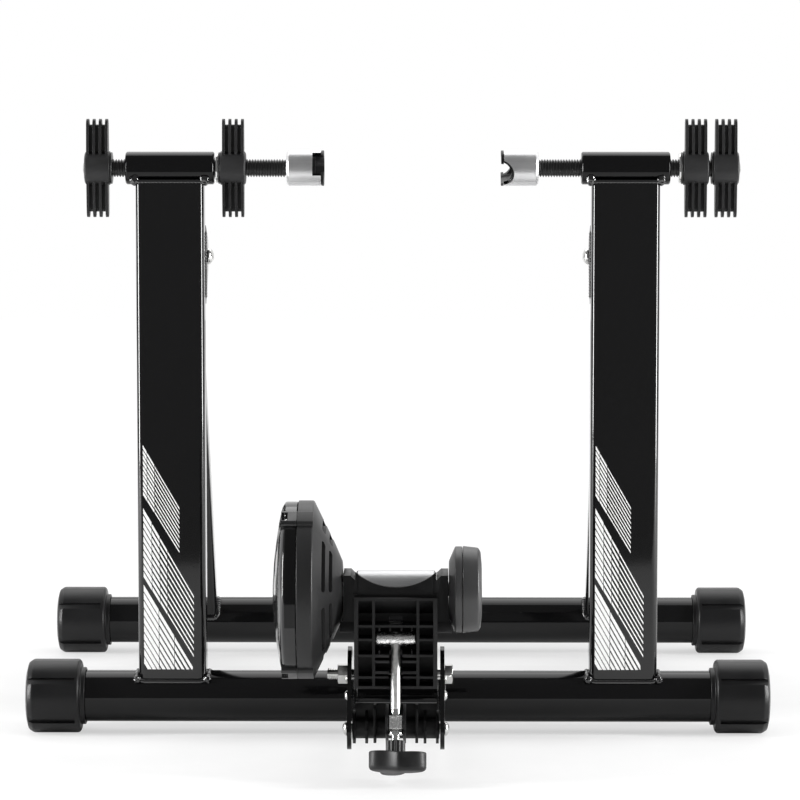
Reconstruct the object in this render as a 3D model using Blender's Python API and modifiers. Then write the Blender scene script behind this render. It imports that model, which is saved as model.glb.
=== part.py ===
# Folding magnetic trainer stand for a bicycle's rear wheel.
#
# The stand is an A-frame of steel tube. Two upright tubes carry a screwed axle cup on each side,
# a second frame folds out behind them on two pivots, and a roller with a magnetic brake stands
# in front of the base tube, where a screw presses it against the tyre.
# Metres, +Z up, +X to the right as seen from the roller's side, +Y towards the folding frame.
# The origin is on the floor under the middle of the object.

import math

import bmesh
import bpy
from mathutils import Euler, Matrix, Vector

MM = 0.001
GAP = 0.3 * MM          # left between pieces that touch
MERGE = 0.00001         # merge distance of the turned shapes

# Base tubes and feet
FRONT_TUBE_Y = -81.5 * MM
BASE_SPREAD = 350 * MM
TUBE_RADIUS = 19 * MM
TUBE_WALL = 1.5 * MM
TUBE_Z = 26.8 * MM
FRONT_HALF_WIDTH = 275.5 * MM
REAR_HALF_WIDTH = 286.3 * MM
FOOT_LENGTH = 44 * MM
FOOT_RADIUS = 27.3 * MM
FOOT_GROOVE_DEPTH = 2 * MM
FOOT_GROOVE_ANGLE = 33.5
COLLAR_RADIUS = 21.2 * MM
COLLAR_LENGTH = 3.4 * MM

# Uprights, axle height and rear legs
UPRIGHT_X = 166.8 * MM
UPRIGHT_WIDTH = 50 * MM
UPRIGHT_DEPTH = 25 * MM
UPRIGHT_CORNER = 5 * MM
AXLE_Z = 418.8 * MM
UPRIGHT_TOP_Z = AXLE_Z - 9.5 * MM
SLEEVE_RADIUS = 12 * MM
SLEEVE_LENGTH = 65 * MM
FOLD_Z = 352 * MM
FOLD_Y = FRONT_TUBE_Y + 33 * MM
LEG_WIDTH = 38 * MM
LEG_DEPTH = 20 * MM
LEG_CORNER = 4 * MM
LEG_END = 14 * MM
LEG_SPLAY = 5 * MM
EAR_THICKNESS = 3 * MM
PIVOT_RADIUS = 4 * MM

# Axle screws: places along X of the left and right side as photographed
ROD_RADIUS = 6.5 * MM
CUP_RADIUS = 13 * MM
CUP_LENGTH = 27.5 * MM
LEFT_CUP_FACE = -54 * MM
RIGHT_CUP_FACE = 75.5 * MM
KNOB_HUB_RADIUS = 12.3 * MM
KNOB_HUB_LENGTH = 18.6 * MM
KNOB_REACH = 36 * MM
FIN_THICKNESS = 2 * MM
FIN_PITCH = 4.6 * MM
LEFT_END_KNOB = -220 * MM
LEFT_LOCK_KNOB = -120.6 * MM
RIGHT_LOCK_KNOB = 218.2 * MM
RIGHT_END_KNOB = 240.2 * MM

# Roller, brake drum and yoke
ROLLER_Y = FRONT_TUBE_Y - 152 * MM
ROLLER_Z = 130.5 * MM
ROLLER_RADIUS = 13.5 * MM
ROLLER_HALF = 27.6 * MM
SHAFT_RADIUS = 5 * MM
BEARING_RADIUS = 9.5 * MM
ARM_IN = 28.8 * MM
ARM_OUT = 36.6 * MM
ARM_LOW = 104 * MM
ARM_HIGH = 143 * MM
PANEL_HALF = 29 * MM
DRUM_RADIUS = 62.3 * MM
COVER_RADIUS = 61.5 * MM
SEAM_X = -68.2 * MM
SMALL_RADIUS = 30.2 * MM
SMALL_SEAM_X = 46.5 * MM
LUG_ANGLES = (60, 180, 300)

# Mount plates, tilt pivot, rocker and tension screw
PLATE_IN = 31 * MM
PLATE_OUT = 34 * MM
TILT_Y = FRONT_TUBE_Y - 140 * MM
TILT_Z = 68.5 * MM
ROCKER_Y = FRONT_TUBE_Y - 165 * MM
ROCKER_Z = 34 * MM
SCREW_TOP_Y = FRONT_TUBE_Y - 168 * MM
SCREW_TOP_Z = 98 * MM
SCREW_LEAN = math.radians(18.65)
SCREW_RADIUS = 3.5 * MM
CROSS_BAR_RADIUS = 5.2 * MM
CROSS_BAR_HALF = 13.8 * MM
TRUNNION_AT = 59.5 * MM
KNOB_AT = 80 * MM
KNOB_THICKNESS = 13.5 * MM
KNOB_TURN = 18

BLACK_STEEL = ((0.012, 0.012, 0.013), 0.22, 0.0)
BLACK_PLASTIC = ((0.022, 0.022, 0.024), 0.48, 0.0)
ZINC = ((0.62, 0.62, 0.60), 0.32, 1.0)
ALUMINIUM = ((0.74, 0.74, 0.75), 0.30, 1.0)
ROLLER_STEEL = ((0.50, 0.51, 0.52), 0.35, 1.0)
NYLON = ((0.05, 0.05, 0.055), 0.5, 0.0)
DARK_METAL = ((0.20, 0.20, 0.21), 0.4, 1.0)
MAGNET = ((0.30, 0.30, 0.31), 0.3, 1.0)

for old in list(bpy.data.objects):
    bpy.data.objects.remove(old, do_unlink=True)

PARTS = bpy.data.collections.new("wheel_trainer_stand")
CUTTERS = bpy.data.collections.new("cutters")
for made in (PARTS, CUTTERS):
    bpy.context.scene.collection.children.link(made)

ALONG_X = Euler((0, math.pi / 2, 0))                    # a turned shape's axis from Z to X
SIDE_ON = Euler((math.pi / 2, 0, math.pi / 2))          # an outline drawn as (Y, Z), thick along X
FACE_ON = Euler((math.pi / 2, 0, 0))                    # an outline drawn as (X, Z), thick along -Y
LEVEL = Euler((0, 0, 0))


# Helpers: objects, finishes and modifiers

def add_object(name, mesh, at=(0, 0, 0), turn=LEVEL, keep=True):
    made = bpy.data.objects.new(name, mesh)
    made.location = at
    made.rotation_euler = turn
    (PARTS if keep else CUTTERS).objects.link(made)
    if not keep:
        made.hide_render = True
        made.display_type = "WIRE"
    return made


def finish(made, look):
    colour, roughness, metallic = look
    skin = bpy.data.materials.new(made.name)
    skin.use_nodes = True
    shader = skin.node_tree.nodes["Principled BSDF"]
    shader.inputs["Base Color"].default_value = (*colour, 1)
    shader.inputs["Roughness"].default_value = roughness
    shader.inputs["Metallic"].default_value = metallic
    made.data.materials.clear()
    made.data.materials.append(skin)
    return made


def evaluated_mesh(made, weld=False):
    """The object's mesh with its modifiers done, and with loose caps welded on if asked."""
    bpy.context.view_layer.update()
    graph = bpy.context.evaluated_depsgraph_get()
    mesh = bpy.data.meshes.new_from_object(made.evaluated_get(graph))
    if not weld:
        return mesh
    work = bmesh.new()
    work.from_mesh(mesh)
    bmesh.ops.remove_doubles(work, verts=work.verts, dist=MERGE)
    work.to_mesh(mesh)
    work.free()
    return mesh


def settle(made):
    """Replace an object's modifiers by their result."""
    made.data = evaluated_mesh(made)
    made.modifiers.clear()
    return made


def boolean(made, other, kind):
    step = made.modifiers.new(other.name, "BOOLEAN")
    step.object = other
    step.operation = kind
    step.solver = "EXACT"


def cut(made, *others):
    for other in others:
        boolean(made, other, "DIFFERENCE")
    return made


def join(made, *others):
    for other in others:
        boolean(made, other, "UNION")
    return made


def smooth(made, angle=35):
    made.data.shade_smooth()
    made.data.set_sharp_from_angle(angle=math.radians(angle))
    return made


# Helpers: basic shapes

def sides(radius):
    """Sides of a round shape, so that small rounds have few and large ones have many."""
    return 2 * round(5 + 0.21 * radius / MM)


def turned(name, outline, at=(0, 0, 0), turn=ALONG_X, steps=None, keep=True):
    """A turned shape. The outline is (along, radius), up the outer side and back down the bore."""
    steps = steps or sides(max(radius for along, radius in outline))
    mesh = bpy.data.meshes.new(name)
    points = [(radius, 0, along) for along, radius in reversed(outline)]
    on_axis = outline[0][1] == 0
    count = len(points)
    edges = [(i, i + 1) for i in range(count - 1)]
    if not on_axis:
        edges.append((count - 1, 0))
    mesh.from_pydata(points, edges, [])
    made = add_object(name, mesh, at, turn, keep)
    screw = made.modifiers.new("turn", "SCREW")
    screw.axis = "Z"
    screw.angle = 2 * math.pi
    screw.steps = steps
    screw.render_steps = steps
    screw.use_merge_vertices = True
    screw.merge_threshold = MERGE
    settle(made)
    if keep:
        smooth(made)
    return made


def rod(name, radius, low, high, at=(0, 0, 0), turn=ALONG_X, steps=None, keep=True):
    """A plain round bar from low to high along its axis."""
    return turned(name, [(low, 0), (low, radius), (high, radius), (high, 0)], at, turn, steps, keep)


def ring(name, radius, bore, low, high, at=(0, 0, 0), turn=ALONG_X, steps=None, keep=True):
    """A plain tube or washer."""
    outline = [(low, radius), (high, radius), (high, bore), (low, bore)]
    return turned(name, outline, at, turn, steps, keep)


def block(name, low, high, at=(0, 0, 0), turn=LEVEL, keep=False):
    """A box between two corners of its own frame."""
    work = bmesh.new()
    bmesh.ops.create_cube(work, size=1)
    low, high = Vector(low), Vector(high)
    bmesh.ops.scale(work, vec=high - low, verts=work.verts)
    bmesh.ops.translate(work, vec=(high + low) / 2, verts=work.verts)
    mesh = bpy.data.meshes.new(name)
    work.to_mesh(mesh)
    work.free()
    return add_object(name, mesh, at, turn, keep)


def blocks(name, boxes, at=(0, 0, 0), turn=LEVEL, keep=False):
    """Several separate boxes as one cutter."""
    work = bmesh.new()
    for low, high in boxes:
        low, high = Vector(low), Vector(high)
        new = bmesh.ops.create_cube(work, size=1)["verts"]
        bmesh.ops.scale(work, vec=high - low, verts=new)
        bmesh.ops.translate(work, vec=(high + low) / 2, verts=new)
    mesh = bpy.data.meshes.new(name)
    work.to_mesh(mesh)
    work.free()
    return add_object(name, mesh, at, turn, keep)


def hexagon(name, across, low, high, at=(0, 0, 0), turn=ALONG_X, keep=True):
    """A hexagon bar of the given width across its flats."""
    work = bmesh.new()
    radius = across / 2 / math.cos(math.pi / 6)
    bmesh.ops.create_cone(work, cap_ends=True, segments=6, radius1=radius, radius2=radius, depth=high - low)
    bmesh.ops.translate(work, vec=(0, 0, (high + low) / 2), verts=work.verts)
    mesh = bpy.data.meshes.new(name)
    work.to_mesh(mesh)
    work.free()
    return add_object(name, mesh, at, turn, keep)


def arc(centre, radius, start, end, count):
    """Points on an arc, angles in degrees."""
    points = []
    for i in range(count + 1):
        angle = math.radians(start + (end - start) * i / count)
        points.append((centre[0] + radius * math.cos(angle), centre[1] + radius * math.sin(angle)))
    return points


def belt(circles, step=18):
    """The outline of a belt around circles, each (x, y, radius), listed anticlockwise."""
    count = len(circles)
    leave = []
    for i in range(count):
        x0, y0, r0 = circles[i]
        x1, y1, r1 = circles[(i + 1) % count]
        run = math.hypot(x1 - x0, y1 - y0)
        leave.append(math.degrees(math.atan2(y1 - y0, x1 - x0) - math.acos((r0 - r1) / run)))
    points = []
    for i in range(count):
        x, y, radius = circles[i]
        start = leave[i - 1]
        sweep = (leave[i] - start) % 360
        points += arc((x, y), radius, start, start + sweep, max(1, round(sweep / step)))
    return points


def rounded(width, height, corner, step=30):
    """A rectangle with round corners, centred."""
    x, y = width / 2 - corner, height / 2 - corner
    return belt([(x, y, corner), (-x, y, corner), (-x, -y, corner), (x, -y, corner)], step)


def slab(name, loops, thickness, at=(0, 0, 0), turn=SIDE_ON, keep=True):
    """A flat outline, with any further loops as holes, thickened both ways from its plane."""
    curve = bpy.data.curves.new(name, "CURVE")
    curve.dimensions = "2D"
    curve.fill_mode = "BOTH"
    curve.extrude = thickness / 2
    for loop in loops:
        spline = curve.splines.new("POLY")
        spline.points.add(len(loop) - 1)
        for point, (x, y) in zip(spline.points, loop):
            point.co = (x, y, 0, 1)
        spline.use_cyclic_u = True
    drawn = bpy.data.objects.new(name + "_drawn", curve)
    CUTTERS.objects.link(drawn)
    mesh = evaluated_mesh(drawn, weld=True)
    bpy.data.objects.remove(drawn, do_unlink=True)
    made = add_object(name, mesh, at, turn, keep)
    if keep:
        smooth(made)
    return made


def copy_of(made, name, at, turn=None):
    """Another piece with the same mesh."""
    other = add_object(name, made.data.copy(), at, made.rotation_euler if turn is None else turn)
    return other


def pivot(name, at):
    """An empty on a joint's axis, which carries the pieces that turn there."""
    made = bpy.data.objects.new(name, None)
    made.location = at
    made.empty_display_size = 0.02
    PARTS.objects.link(made)
    return made


def carry(parent, *pieces):
    """Parent pieces to an empty that isn't turned, and leave them where they are."""
    for piece in pieces:
        piece.parent = parent
        piece.location = Vector(piece.location) - Vector(parent.location)


# Frame: base tubes, feet, uprights, sleeves

def base_tube(name, y, half):
    reach = half - FOOT_LENGTH * 0.12
    made = ring(name, TUBE_RADIUS, TUBE_RADIUS - TUBE_WALL, -reach, reach, (0, y, TUBE_Z))
    return finish(made, BLACK_STEEL)


def foot_mesh():
    """A moulded cap: a collar, a domed end, and four pads between four grooves."""
    socket = TUBE_RADIUS + GAP
    depth = FOOT_LENGTH * 0.9
    rim = FOOT_RADIUS
    outline = [
        (depth, 0), (depth, socket), (0, socket), (0, COLLAR_RADIUS), (COLLAR_LENGTH, COLLAR_RADIUS),
        (COLLAR_LENGTH, rim - 2 * MM), (COLLAR_LENGTH + 2 * MM, rim), (FOOT_LENGTH - 5 * MM, rim),
        (FOOT_LENGTH - 1.6 * MM, rim - 3 * MM), (FOOT_LENGTH, rim * 0.6), (FOOT_LENGTH, 0),
    ]
    made = turned("foot", outline, keep=False)
    boxes = []
    half = 2.8 * MM
    inner = FOOT_RADIUS - FOOT_GROOVE_DEPTH
    grooves = []
    for quarter in range(4):
        angle = (FOOT_GROOVE_ANGLE, 180 - FOOT_GROOVE_ANGLE, 180 + FOOT_GROOVE_ANGLE, -FOOT_GROOVE_ANGLE)[quarter]
        turn = Euler((math.radians(angle), 0, 0))
        low = (COLLAR_LENGTH + 3 * MM, inner, -half)
        high = (FOOT_LENGTH + 1 * MM, FOOT_RADIUS + 3 * MM, half)
        grooves.append(block("groove", low, high, turn=turn))
    for side in (-1, 1):
        edge = sorted((side * TUBE_Z, side * (TUBE_Z + 5 * MM)))
        boxes.append(((-1 * MM, -30 * MM, edge[0]), (FOOT_LENGTH + 1 * MM, 30 * MM, edge[1])))
    cut(made, blocks("flats", boxes), *grooves)
    return evaluated_mesh(made)


def feet():
    """One foot on each end of the two base tubes."""
    mesh = foot_mesh()
    made = {}
    for row, y, half in (("front", FRONT_TUBE_Y, FRONT_HALF_WIDTH), ("rear", FRONT_TUBE_Y + BASE_SPREAD, REAR_HALF_WIDTH)):
        for side, sign in (("left", -1), ("right", 1)):
            turn = ALONG_X if sign > 0 else Euler((0, -math.pi / 2, 0))
            foot = add_object(f"{row}_{side}_foot", mesh.copy(), (sign * (half - FOOT_LENGTH), y, TUBE_Z), turn)
            finish(smooth(foot), BLACK_PLASTIC)
            made[row, side] = foot
    return made


def upright(side, sign):
    """A rectangular tube, coped over the base tube below and under the sleeve above."""
    low, high = TUBE_Z, UPRIGHT_TOP_Z
    outer = rounded(UPRIGHT_WIDTH, UPRIGHT_DEPTH, UPRIGHT_CORNER)
    bore = rounded(UPRIGHT_WIDTH - 2 * TUBE_WALL, UPRIGHT_DEPTH - 2 * TUBE_WALL, UPRIGHT_CORNER - TUBE_WALL)
    at = (sign * UPRIGHT_X, FRONT_TUBE_Y, (low + high) / 2)
    made = slab(f"{side}_upright_tube", [outer, bore], high - low, at, LEVEL)
    across = UPRIGHT_WIDTH
    below = rod("cope", TUBE_RADIUS + GAP, -across, across, (at[0], FRONT_TUBE_Y, TUBE_Z), steps=28, keep=False)
    above = rod("cope", SLEEVE_RADIUS + GAP, -across, across, (at[0], FRONT_TUBE_Y, AXLE_Z), steps=28, keep=False)
    cut(made, below, above)
    return finish(made, BLACK_STEEL)


def sleeve(side, sign):
    """The bored boss on top of an upright, which the axle screw runs through."""
    half = SLEEVE_LENGTH / 2
    chamfer = 1 * MM
    bore = ROD_RADIUS + GAP
    outline = [
        (-half, SLEEVE_RADIUS - chamfer), (-half + chamfer, SLEEVE_RADIUS), (half - chamfer, SLEEVE_RADIUS),
        (half, SLEEVE_RADIUS - chamfer), (half, bore), (-half, bore),
    ]
    made = turned(f"{side}_axle_sleeve", outline, (sign * UPRIGHT_X, FRONT_TUBE_Y, AXLE_Z))
    return finish(made, BLACK_STEEL)


def fold_bracket(side, sign):
    """A channel behind the upright: two round-nosed ears, a back, and the bar that the open leg stops on."""
    y = FRONT_TUBE_Y + UPRIGHT_DEPTH / 2 + GAP
    web = 2.5 * MM
    reach = FOLD_Y - y
    low, high = -34 * MM, 24 * MM
    corner = 2 * MM
    ear = belt([(corner, low + corner, corner), (reach, 0, 15 * MM), (corner, high - corner, corner)])
    half = UPRIGHT_WIDTH / 2
    hole = list(reversed(arc((reach, 0), PIVOT_RADIUS + GAP, 0, 336, 14)))
    at = (sign * UPRIGHT_X, y, FOLD_Z)
    made = slab(f"{side}_fold_bracket", [ear, hole], UPRIGHT_WIDTH, at)
    room = half - EAR_THICKNESS
    far = reach + 30 * MM
    above = block("room", (-room, web, -4 * MM), (room, far, high + 5 * MM), at)
    below = block("room", (-room, web, low - 5 * MM), (room, far, -14 * MM), at)
    behind = block("room", (-room, web + 6.7 * MM, -15 * MM), (room, far, -3 * MM), at)
    cut(made, above, below, behind)
    return finish(made, BLACK_STEEL)


def fold_pivot(side, sign):
    """The rivet that the leg folds on, domed on the inside, and the nylon bush between the ears."""
    at = (sign * UPRIGHT_X, FOLD_Y, FOLD_Z)
    turn = Euler((0, -sign * math.pi / 2, 0))
    half = UPRIGHT_WIDTH / 2 + GAP
    outline = [
        (-half - 2.2 * MM, 0), (-half - 2.2 * MM, 4.8 * MM), (-half - 1 * MM, 6.2 * MM), (-half, 6.3 * MM),
        (-half, PIVOT_RADIUS), (half, PIVOT_RADIUS), (half, 6.4 * MM), (half + 1.8 * MM, 6.1 * MM),
        (half + 3.6 * MM, 4.2 * MM), (half + 4.5 * MM, 1.6 * MM), (half + 4.5 * MM, 0),
    ]
    rivet = finish(turned(f"{side}_fold_rivet", outline, at, turn), ZINC)
    reach = UPRIGHT_WIDTH / 2 - EAR_THICKNESS - GAP
    bush = ring(f"{side}_leg_bush", 6 * MM, PIVOT_RADIUS + GAP, -reach, reach, at, turn)
    return rivet, finish(bush, NYLON)


def rear_leg(side, sign):
    """A rectangular tube from the fold pivot down to the rear base tube, splayed a little."""
    top = Vector((sign * UPRIGHT_X, FOLD_Y, FOLD_Z))
    foot = Vector((sign * (UPRIGHT_X + LEG_SPLAY), FRONT_TUBE_Y + BASE_SPREAD, TUBE_Z))
    up = (top - foot).normalized()
    across = Vector((1, 0, 0))
    across = (across - across.dot(up) * up).normalized()
    frame = Matrix((across, up.cross(across), up)).transposed()
    length = (top - foot).length + LEG_END
    outer = rounded(LEG_WIDTH, LEG_DEPTH, LEG_CORNER)
    bore = rounded(LEG_WIDTH - 2 * TUBE_WALL, LEG_DEPTH - 2 * TUBE_WALL, LEG_CORNER - TUBE_WALL)
    middle = foot + up * (length / 2)
    made = slab(f"{side}_rear_leg", [outer, bore], length, middle, frame.to_euler())
    mesh = made.data
    mesh.transform(Matrix.Translation((0, 0, LEG_END - length / 2)))
    made.location = top
    cope = rod("cope", TUBE_RADIUS + GAP, -30 * MM, 30 * MM, foot, steps=28, keep=False)
    hole = rod("bush_hole", 6 * MM + GAP, -30 * MM, 30 * MM, top, keep=False)
    cut(made, cope, hole)
    return finish(made, BLACK_STEEL)


# Axle screws: cup, liner, threaded rod, wing knobs

def cup_pieces(side, face, inward):
    """The metal cup and its plastic liner, with the notch of that side."""
    turn = ALONG_X if inward > 0 else Euler((0, -math.pi / 2, 0))
    at = (face - inward * CUP_LENGTH, FRONT_TUBE_Y, AXLE_Z)
    shell_end = CUP_LENGTH - 2.2 * MM
    floor = 9 * MM
    wall = CUP_RADIUS - 2.2 * MM
    spigot = 4.6 * MM
    chamfer = 1.8 * MM
    shell = [
        (0, CUP_RADIUS - chamfer), (chamfer, CUP_RADIUS), (shell_end, CUP_RADIUS), (shell_end, wall),
        (floor, wall), (floor, spigot), (0, spigot),
    ]
    cup = turned(f"{side}_axle_cup", shell, at, turn)
    solid = [
        (floor + GAP, spigot), (floor + GAP, wall - GAP), (12 * MM, wall - GAP), (12 * MM, CUP_RADIUS), (CUP_LENGTH, CUP_RADIUS),
        (CUP_LENGTH, 8.6 * MM), (floor + 5 * MM, 6.4 * MM), (floor + 5 * MM, spigot),
    ]
    liner = turned(f"{side}_cup_liner", solid, at, turn)
    room = ring("room", CUP_RADIUS + 3 * MM, wall - GAP, 2 * MM, shell_end + GAP, at, turn, keep=False)
    lift = math.radians(20)
    if inward < 0:
        centre = Vector((face, FRONT_TUBE_Y, AXLE_Z))
        slope = Euler((math.pi / 2 + lift, 0, 0))
        wide = rod("notch", 9.6 * MM, -30 * MM, 30 * MM, centre, slope, keep=False)
        lip = rod("notch", 9.6 * MM - GAP, -30 * MM, 30 * MM, centre, slope, keep=False)
        narrow = rod("notch", 7.6 * MM, -30 * MM, 30 * MM, centre, slope, keep=False)
    else:
        slope = Euler((-lift, 0, 0))
        centre = Vector((face, FRONT_TUBE_Y, AXLE_Z))
        wide = block("notch", (-8.4 * MM, -30 * MM, -8.8 * MM), (5 * MM, -2 * MM, 8.8 * MM), centre, slope)
        lip = block("notch", (-8.1 * MM, -30 * MM, -8.5 * MM), (5 * MM, -2 * MM, 8.5 * MM), centre, slope)
        narrow = block("notch", (-6.2 * MM, -30 * MM, -6.6 * MM), (5 * MM, -2 * MM, 6.6 * MM), centre, slope)
    cut(room, lip)
    cut(cup, wide)
    cut(liner, room, narrow)
    return [finish(cup, ALUMINIUM), finish(liner, BLACK_PLASTIC)]


def threaded_rod(side, face, inward, end):
    """The axle screw, without its thread: a bar with a thinner end that turns in the cup."""
    back = face - inward * CUP_LENGTH
    turn = ALONG_X if inward > 0 else Euler((0, -math.pi / 2, 0))
    length = abs(back - end) - GAP
    outline = [
        (0, 0), (0.3 * MM, 3 * MM), (1.6 * MM, 5.4 * MM), (2.6 * MM, ROD_RADIUS), (length, ROD_RADIUS), (length, 4.3 * MM),
        (length + 8.5 * MM, 4.3 * MM), (length + 8.5 * MM, 0),
    ]
    made = turned(f"{side}_threaded_rod", outline, (end, FRONT_TUBE_Y, AXLE_Z), turn)
    return finish(made, BLACK_STEEL)


def wing_knob_mesh():
    """A wing knob: a round hub and four fins on a thinner web, bored for its steel nut."""
    half = KNOB_HUB_LENGTH / 2
    hub = turned("hub", [
        (-half, 0), (-half, KNOB_HUB_RADIUS - 1.5 * MM), (-half + 1 * MM, KNOB_HUB_RADIUS),
        (half, KNOB_HUB_RADIUS), (half, 0),
    ], keep=False)
    root, tip = 6.9 * MM, 5.6 * MM
    fin = belt([(0, KNOB_REACH - tip, tip), (-1 * MM, 0, root), (0, -KNOB_REACH + tip, tip), (1 * MM, 0, root)], 40)
    web_root, web_tip = 3.4 * MM, 2.6 * MM
    reach = KNOB_REACH - 4.1 * MM - web_tip
    web = belt([(0, reach, web_tip), (0, -reach, web_tip)], 60)
    adds = [slab("web", [web], 3 * FIN_PITCH, keep=False)]
    for i in range(4):
        x = (i - 1.5) * FIN_PITCH
        adds.append(slab("fin", [fin], FIN_THICKNESS, (x, 0, 0), keep=False))
    join(hub, *adds)
    nut = rod("nut_room", 8.5 * MM + GAP, -half + 2.4 * MM, half + 2 * MM, keep=False)
    through = rod("rod_room", ROD_RADIUS + GAP, -half - 2 * MM, half, keep=False)
    cut(hub, nut, through)
    return evaluated_mesh(hub)


def knob_nut(name, at, turn):
    """The flanged steel nut inside a wing knob."""
    half = KNOB_HUB_LENGTH / 2
    outline = [
        (-half + 3 * MM, 8.5 * MM), (half + GAP, 8.5 * MM), (half + GAP, 11.6 * MM), (half + 1.5 * MM, 11.6 * MM),
        (half + 1.5 * MM, ROD_RADIUS + GAP), (-half + 3 * MM, ROD_RADIUS + GAP),
    ]
    return finish(turned(name, outline, at, turn), DARK_METAL)


def axle_screw(side, sign, face, end_knob, lock_knob, knob_mesh):
    """All pieces of one side, parented to the empties that slide and turn on the axle line."""
    inward = -sign
    line = (0, FRONT_TUBE_Y, AXLE_Z)
    toward_sleeve = ALONG_X if inward > 0 else Euler((0, -math.pi / 2, 0))
    cup, liner = cup_pieces(side, face, inward)
    carrier = pivot(f"{side}_cup_slide", (face, line[1], line[2]))
    carry(carrier, cup, liner)
    end = end_knob - inward * (KNOB_HUB_LENGTH / 2 + 1.6 * MM)
    screw = threaded_rod(side, face, inward, end)
    grip = finish(smooth(add_object(f"{side}_end_knob", knob_mesh.copy(), (end_knob, line[1], line[2]), toward_sleeve)),
                  BLACK_PLASTIC)
    nut = knob_nut(f"{side}_end_knob_nut", (end_knob, line[1], line[2]), toward_sleeve)
    turning = pivot(f"{side}_rod_spin", (end_knob, line[1], line[2]))
    carry(turning, screw, grip, nut)
    # On the right the lock knob sits outboard of the sleeve, on the left inboard of it
    sleeve_side = 1 if lock_knob < sign * UPRIGHT_X else -1
    to_sleeve = ALONG_X if sleeve_side > 0 else Euler((0, -math.pi / 2, 0))
    lock = finish(smooth(add_object(f"{side}_lock_knob", knob_mesh.copy(), (lock_knob, line[1], line[2]), to_sleeve)),
                  BLACK_PLASTIC)
    lock_nut = knob_nut(f"{side}_lock_knob_nut", (lock_knob, line[1], line[2]), to_sleeve)
    low = KNOB_HUB_LENGTH / 2 + 1.5 * MM + GAP
    washer = ring(f"{side}_lock_washer", 11 * MM, ROD_RADIUS + GAP, low, low + 1.4 * MM,
                  (lock_knob, line[1], line[2]), to_sleeve)
    finish(washer, ZINC)
    lock_turn = pivot(f"{side}_lock_spin", (lock_knob, line[1], line[2]))
    carry(lock_turn, lock, lock_nut)
    lock_slide = pivot(f"{side}_lock_slide", (lock_knob, line[1], line[2]))
    carry(lock_slide, washer)


# Mount plates, tilt pivot and rocker

def at_front(y, z):
    """A point given as distance in front of the base tube and height, as (Y, Z) from the base tube."""
    return (-y, z)


def mount_plate(side, sign):
    """A steel plate from the base tube forward to the tilt pivot and the rocker pin."""
    outline = belt([
        (*at_front(14 * MM, 23 * MM), 6 * MM), (*at_front(14 * MM, 38 * MM), 6 * MM),
        (*at_front(140 * MM, TILT_Z), 19.5 * MM), (*at_front(168 * MM, 33.5 * MM), 13.5 * MM),
    ], 20)
    tilt_hole = arc(at_front(140 * MM, TILT_Z), PIVOT_RADIUS + GAP, 360, 24, 14)
    pin_hole = arc(at_front(165 * MM, ROCKER_Z), PIVOT_RADIUS + GAP, 360, 24, 14)
    at = (sign * (PLATE_IN + PLATE_OUT) / 2, FRONT_TUBE_Y, 0)
    made = slab(f"{side}_mount_plate", [outline, tilt_hole, pin_hole], PLATE_OUT - PLATE_IN, at)
    cope = rod("cope", TUBE_RADIUS + GAP, -10 * MM, 10 * MM, (at[0], FRONT_TUBE_Y, TUBE_Z), steps=28, keep=False)
    cut(made, cope)
    return finish(made, BLACK_STEEL)


def tilt_bolt():
    """The hexagon bolt that the yoke tilts on, and its lock nut on the left."""
    at = (0, TILT_Y, TILT_Z)
    head_low = PLATE_OUT + GAP
    shank = rod("unit_pivot_bolt", PIVOT_RADIUS, -48.5 * MM, head_low + 1 * MM, at)
    join(shank, hexagon("head", 13 * MM, head_low, head_low + 5.6 * MM, at, keep=False))
    nut_high = -PLATE_OUT - GAP
    nut = hexagon("unit_pivot_nut", 13 * MM, nut_high - 7 * MM, nut_high, at)
    hole = rod("nut_hole", PIVOT_RADIUS + GAP, -50 * MM, -30 * MM, at, keep=False)
    cut(nut, hole)
    return [finish(settle(shank), ZINC), finish(nut, ZINC)]


def rocker_pin():
    """The lower pin, with a low domed head outside each mount plate."""
    head = PLATE_OUT + GAP
    outline = [
        (-head - 3 * MM, 0), (-head - 3 * MM, 2.2 * MM), (-head - 1.6 * MM, 4.6 * MM), (-head, 5.3 * MM),
        (-head, PIVOT_RADIUS), (head, PIVOT_RADIUS), (head, 5.3 * MM), (head + 1.6 * MM, 4.6 * MM),
        (head + 3 * MM, 2.2 * MM), (head + 3 * MM, 0),
    ]
    return finish(turned("rocker_pin", outline, (0, ROCKER_Y, ROCKER_Z)), ZINC)


def along_screw(distance):
    """A point on the tension screw's axis, measured down from its top."""
    return Vector((0, SCREW_TOP_Y - math.sin(SCREW_LEAN) * distance, SCREW_TOP_Z - math.cos(SCREW_LEAN) * distance))


SCREW_TURN = Euler((math.pi - SCREW_LEAN, 0, 0))        # a turned shape's axis down the screw


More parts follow.
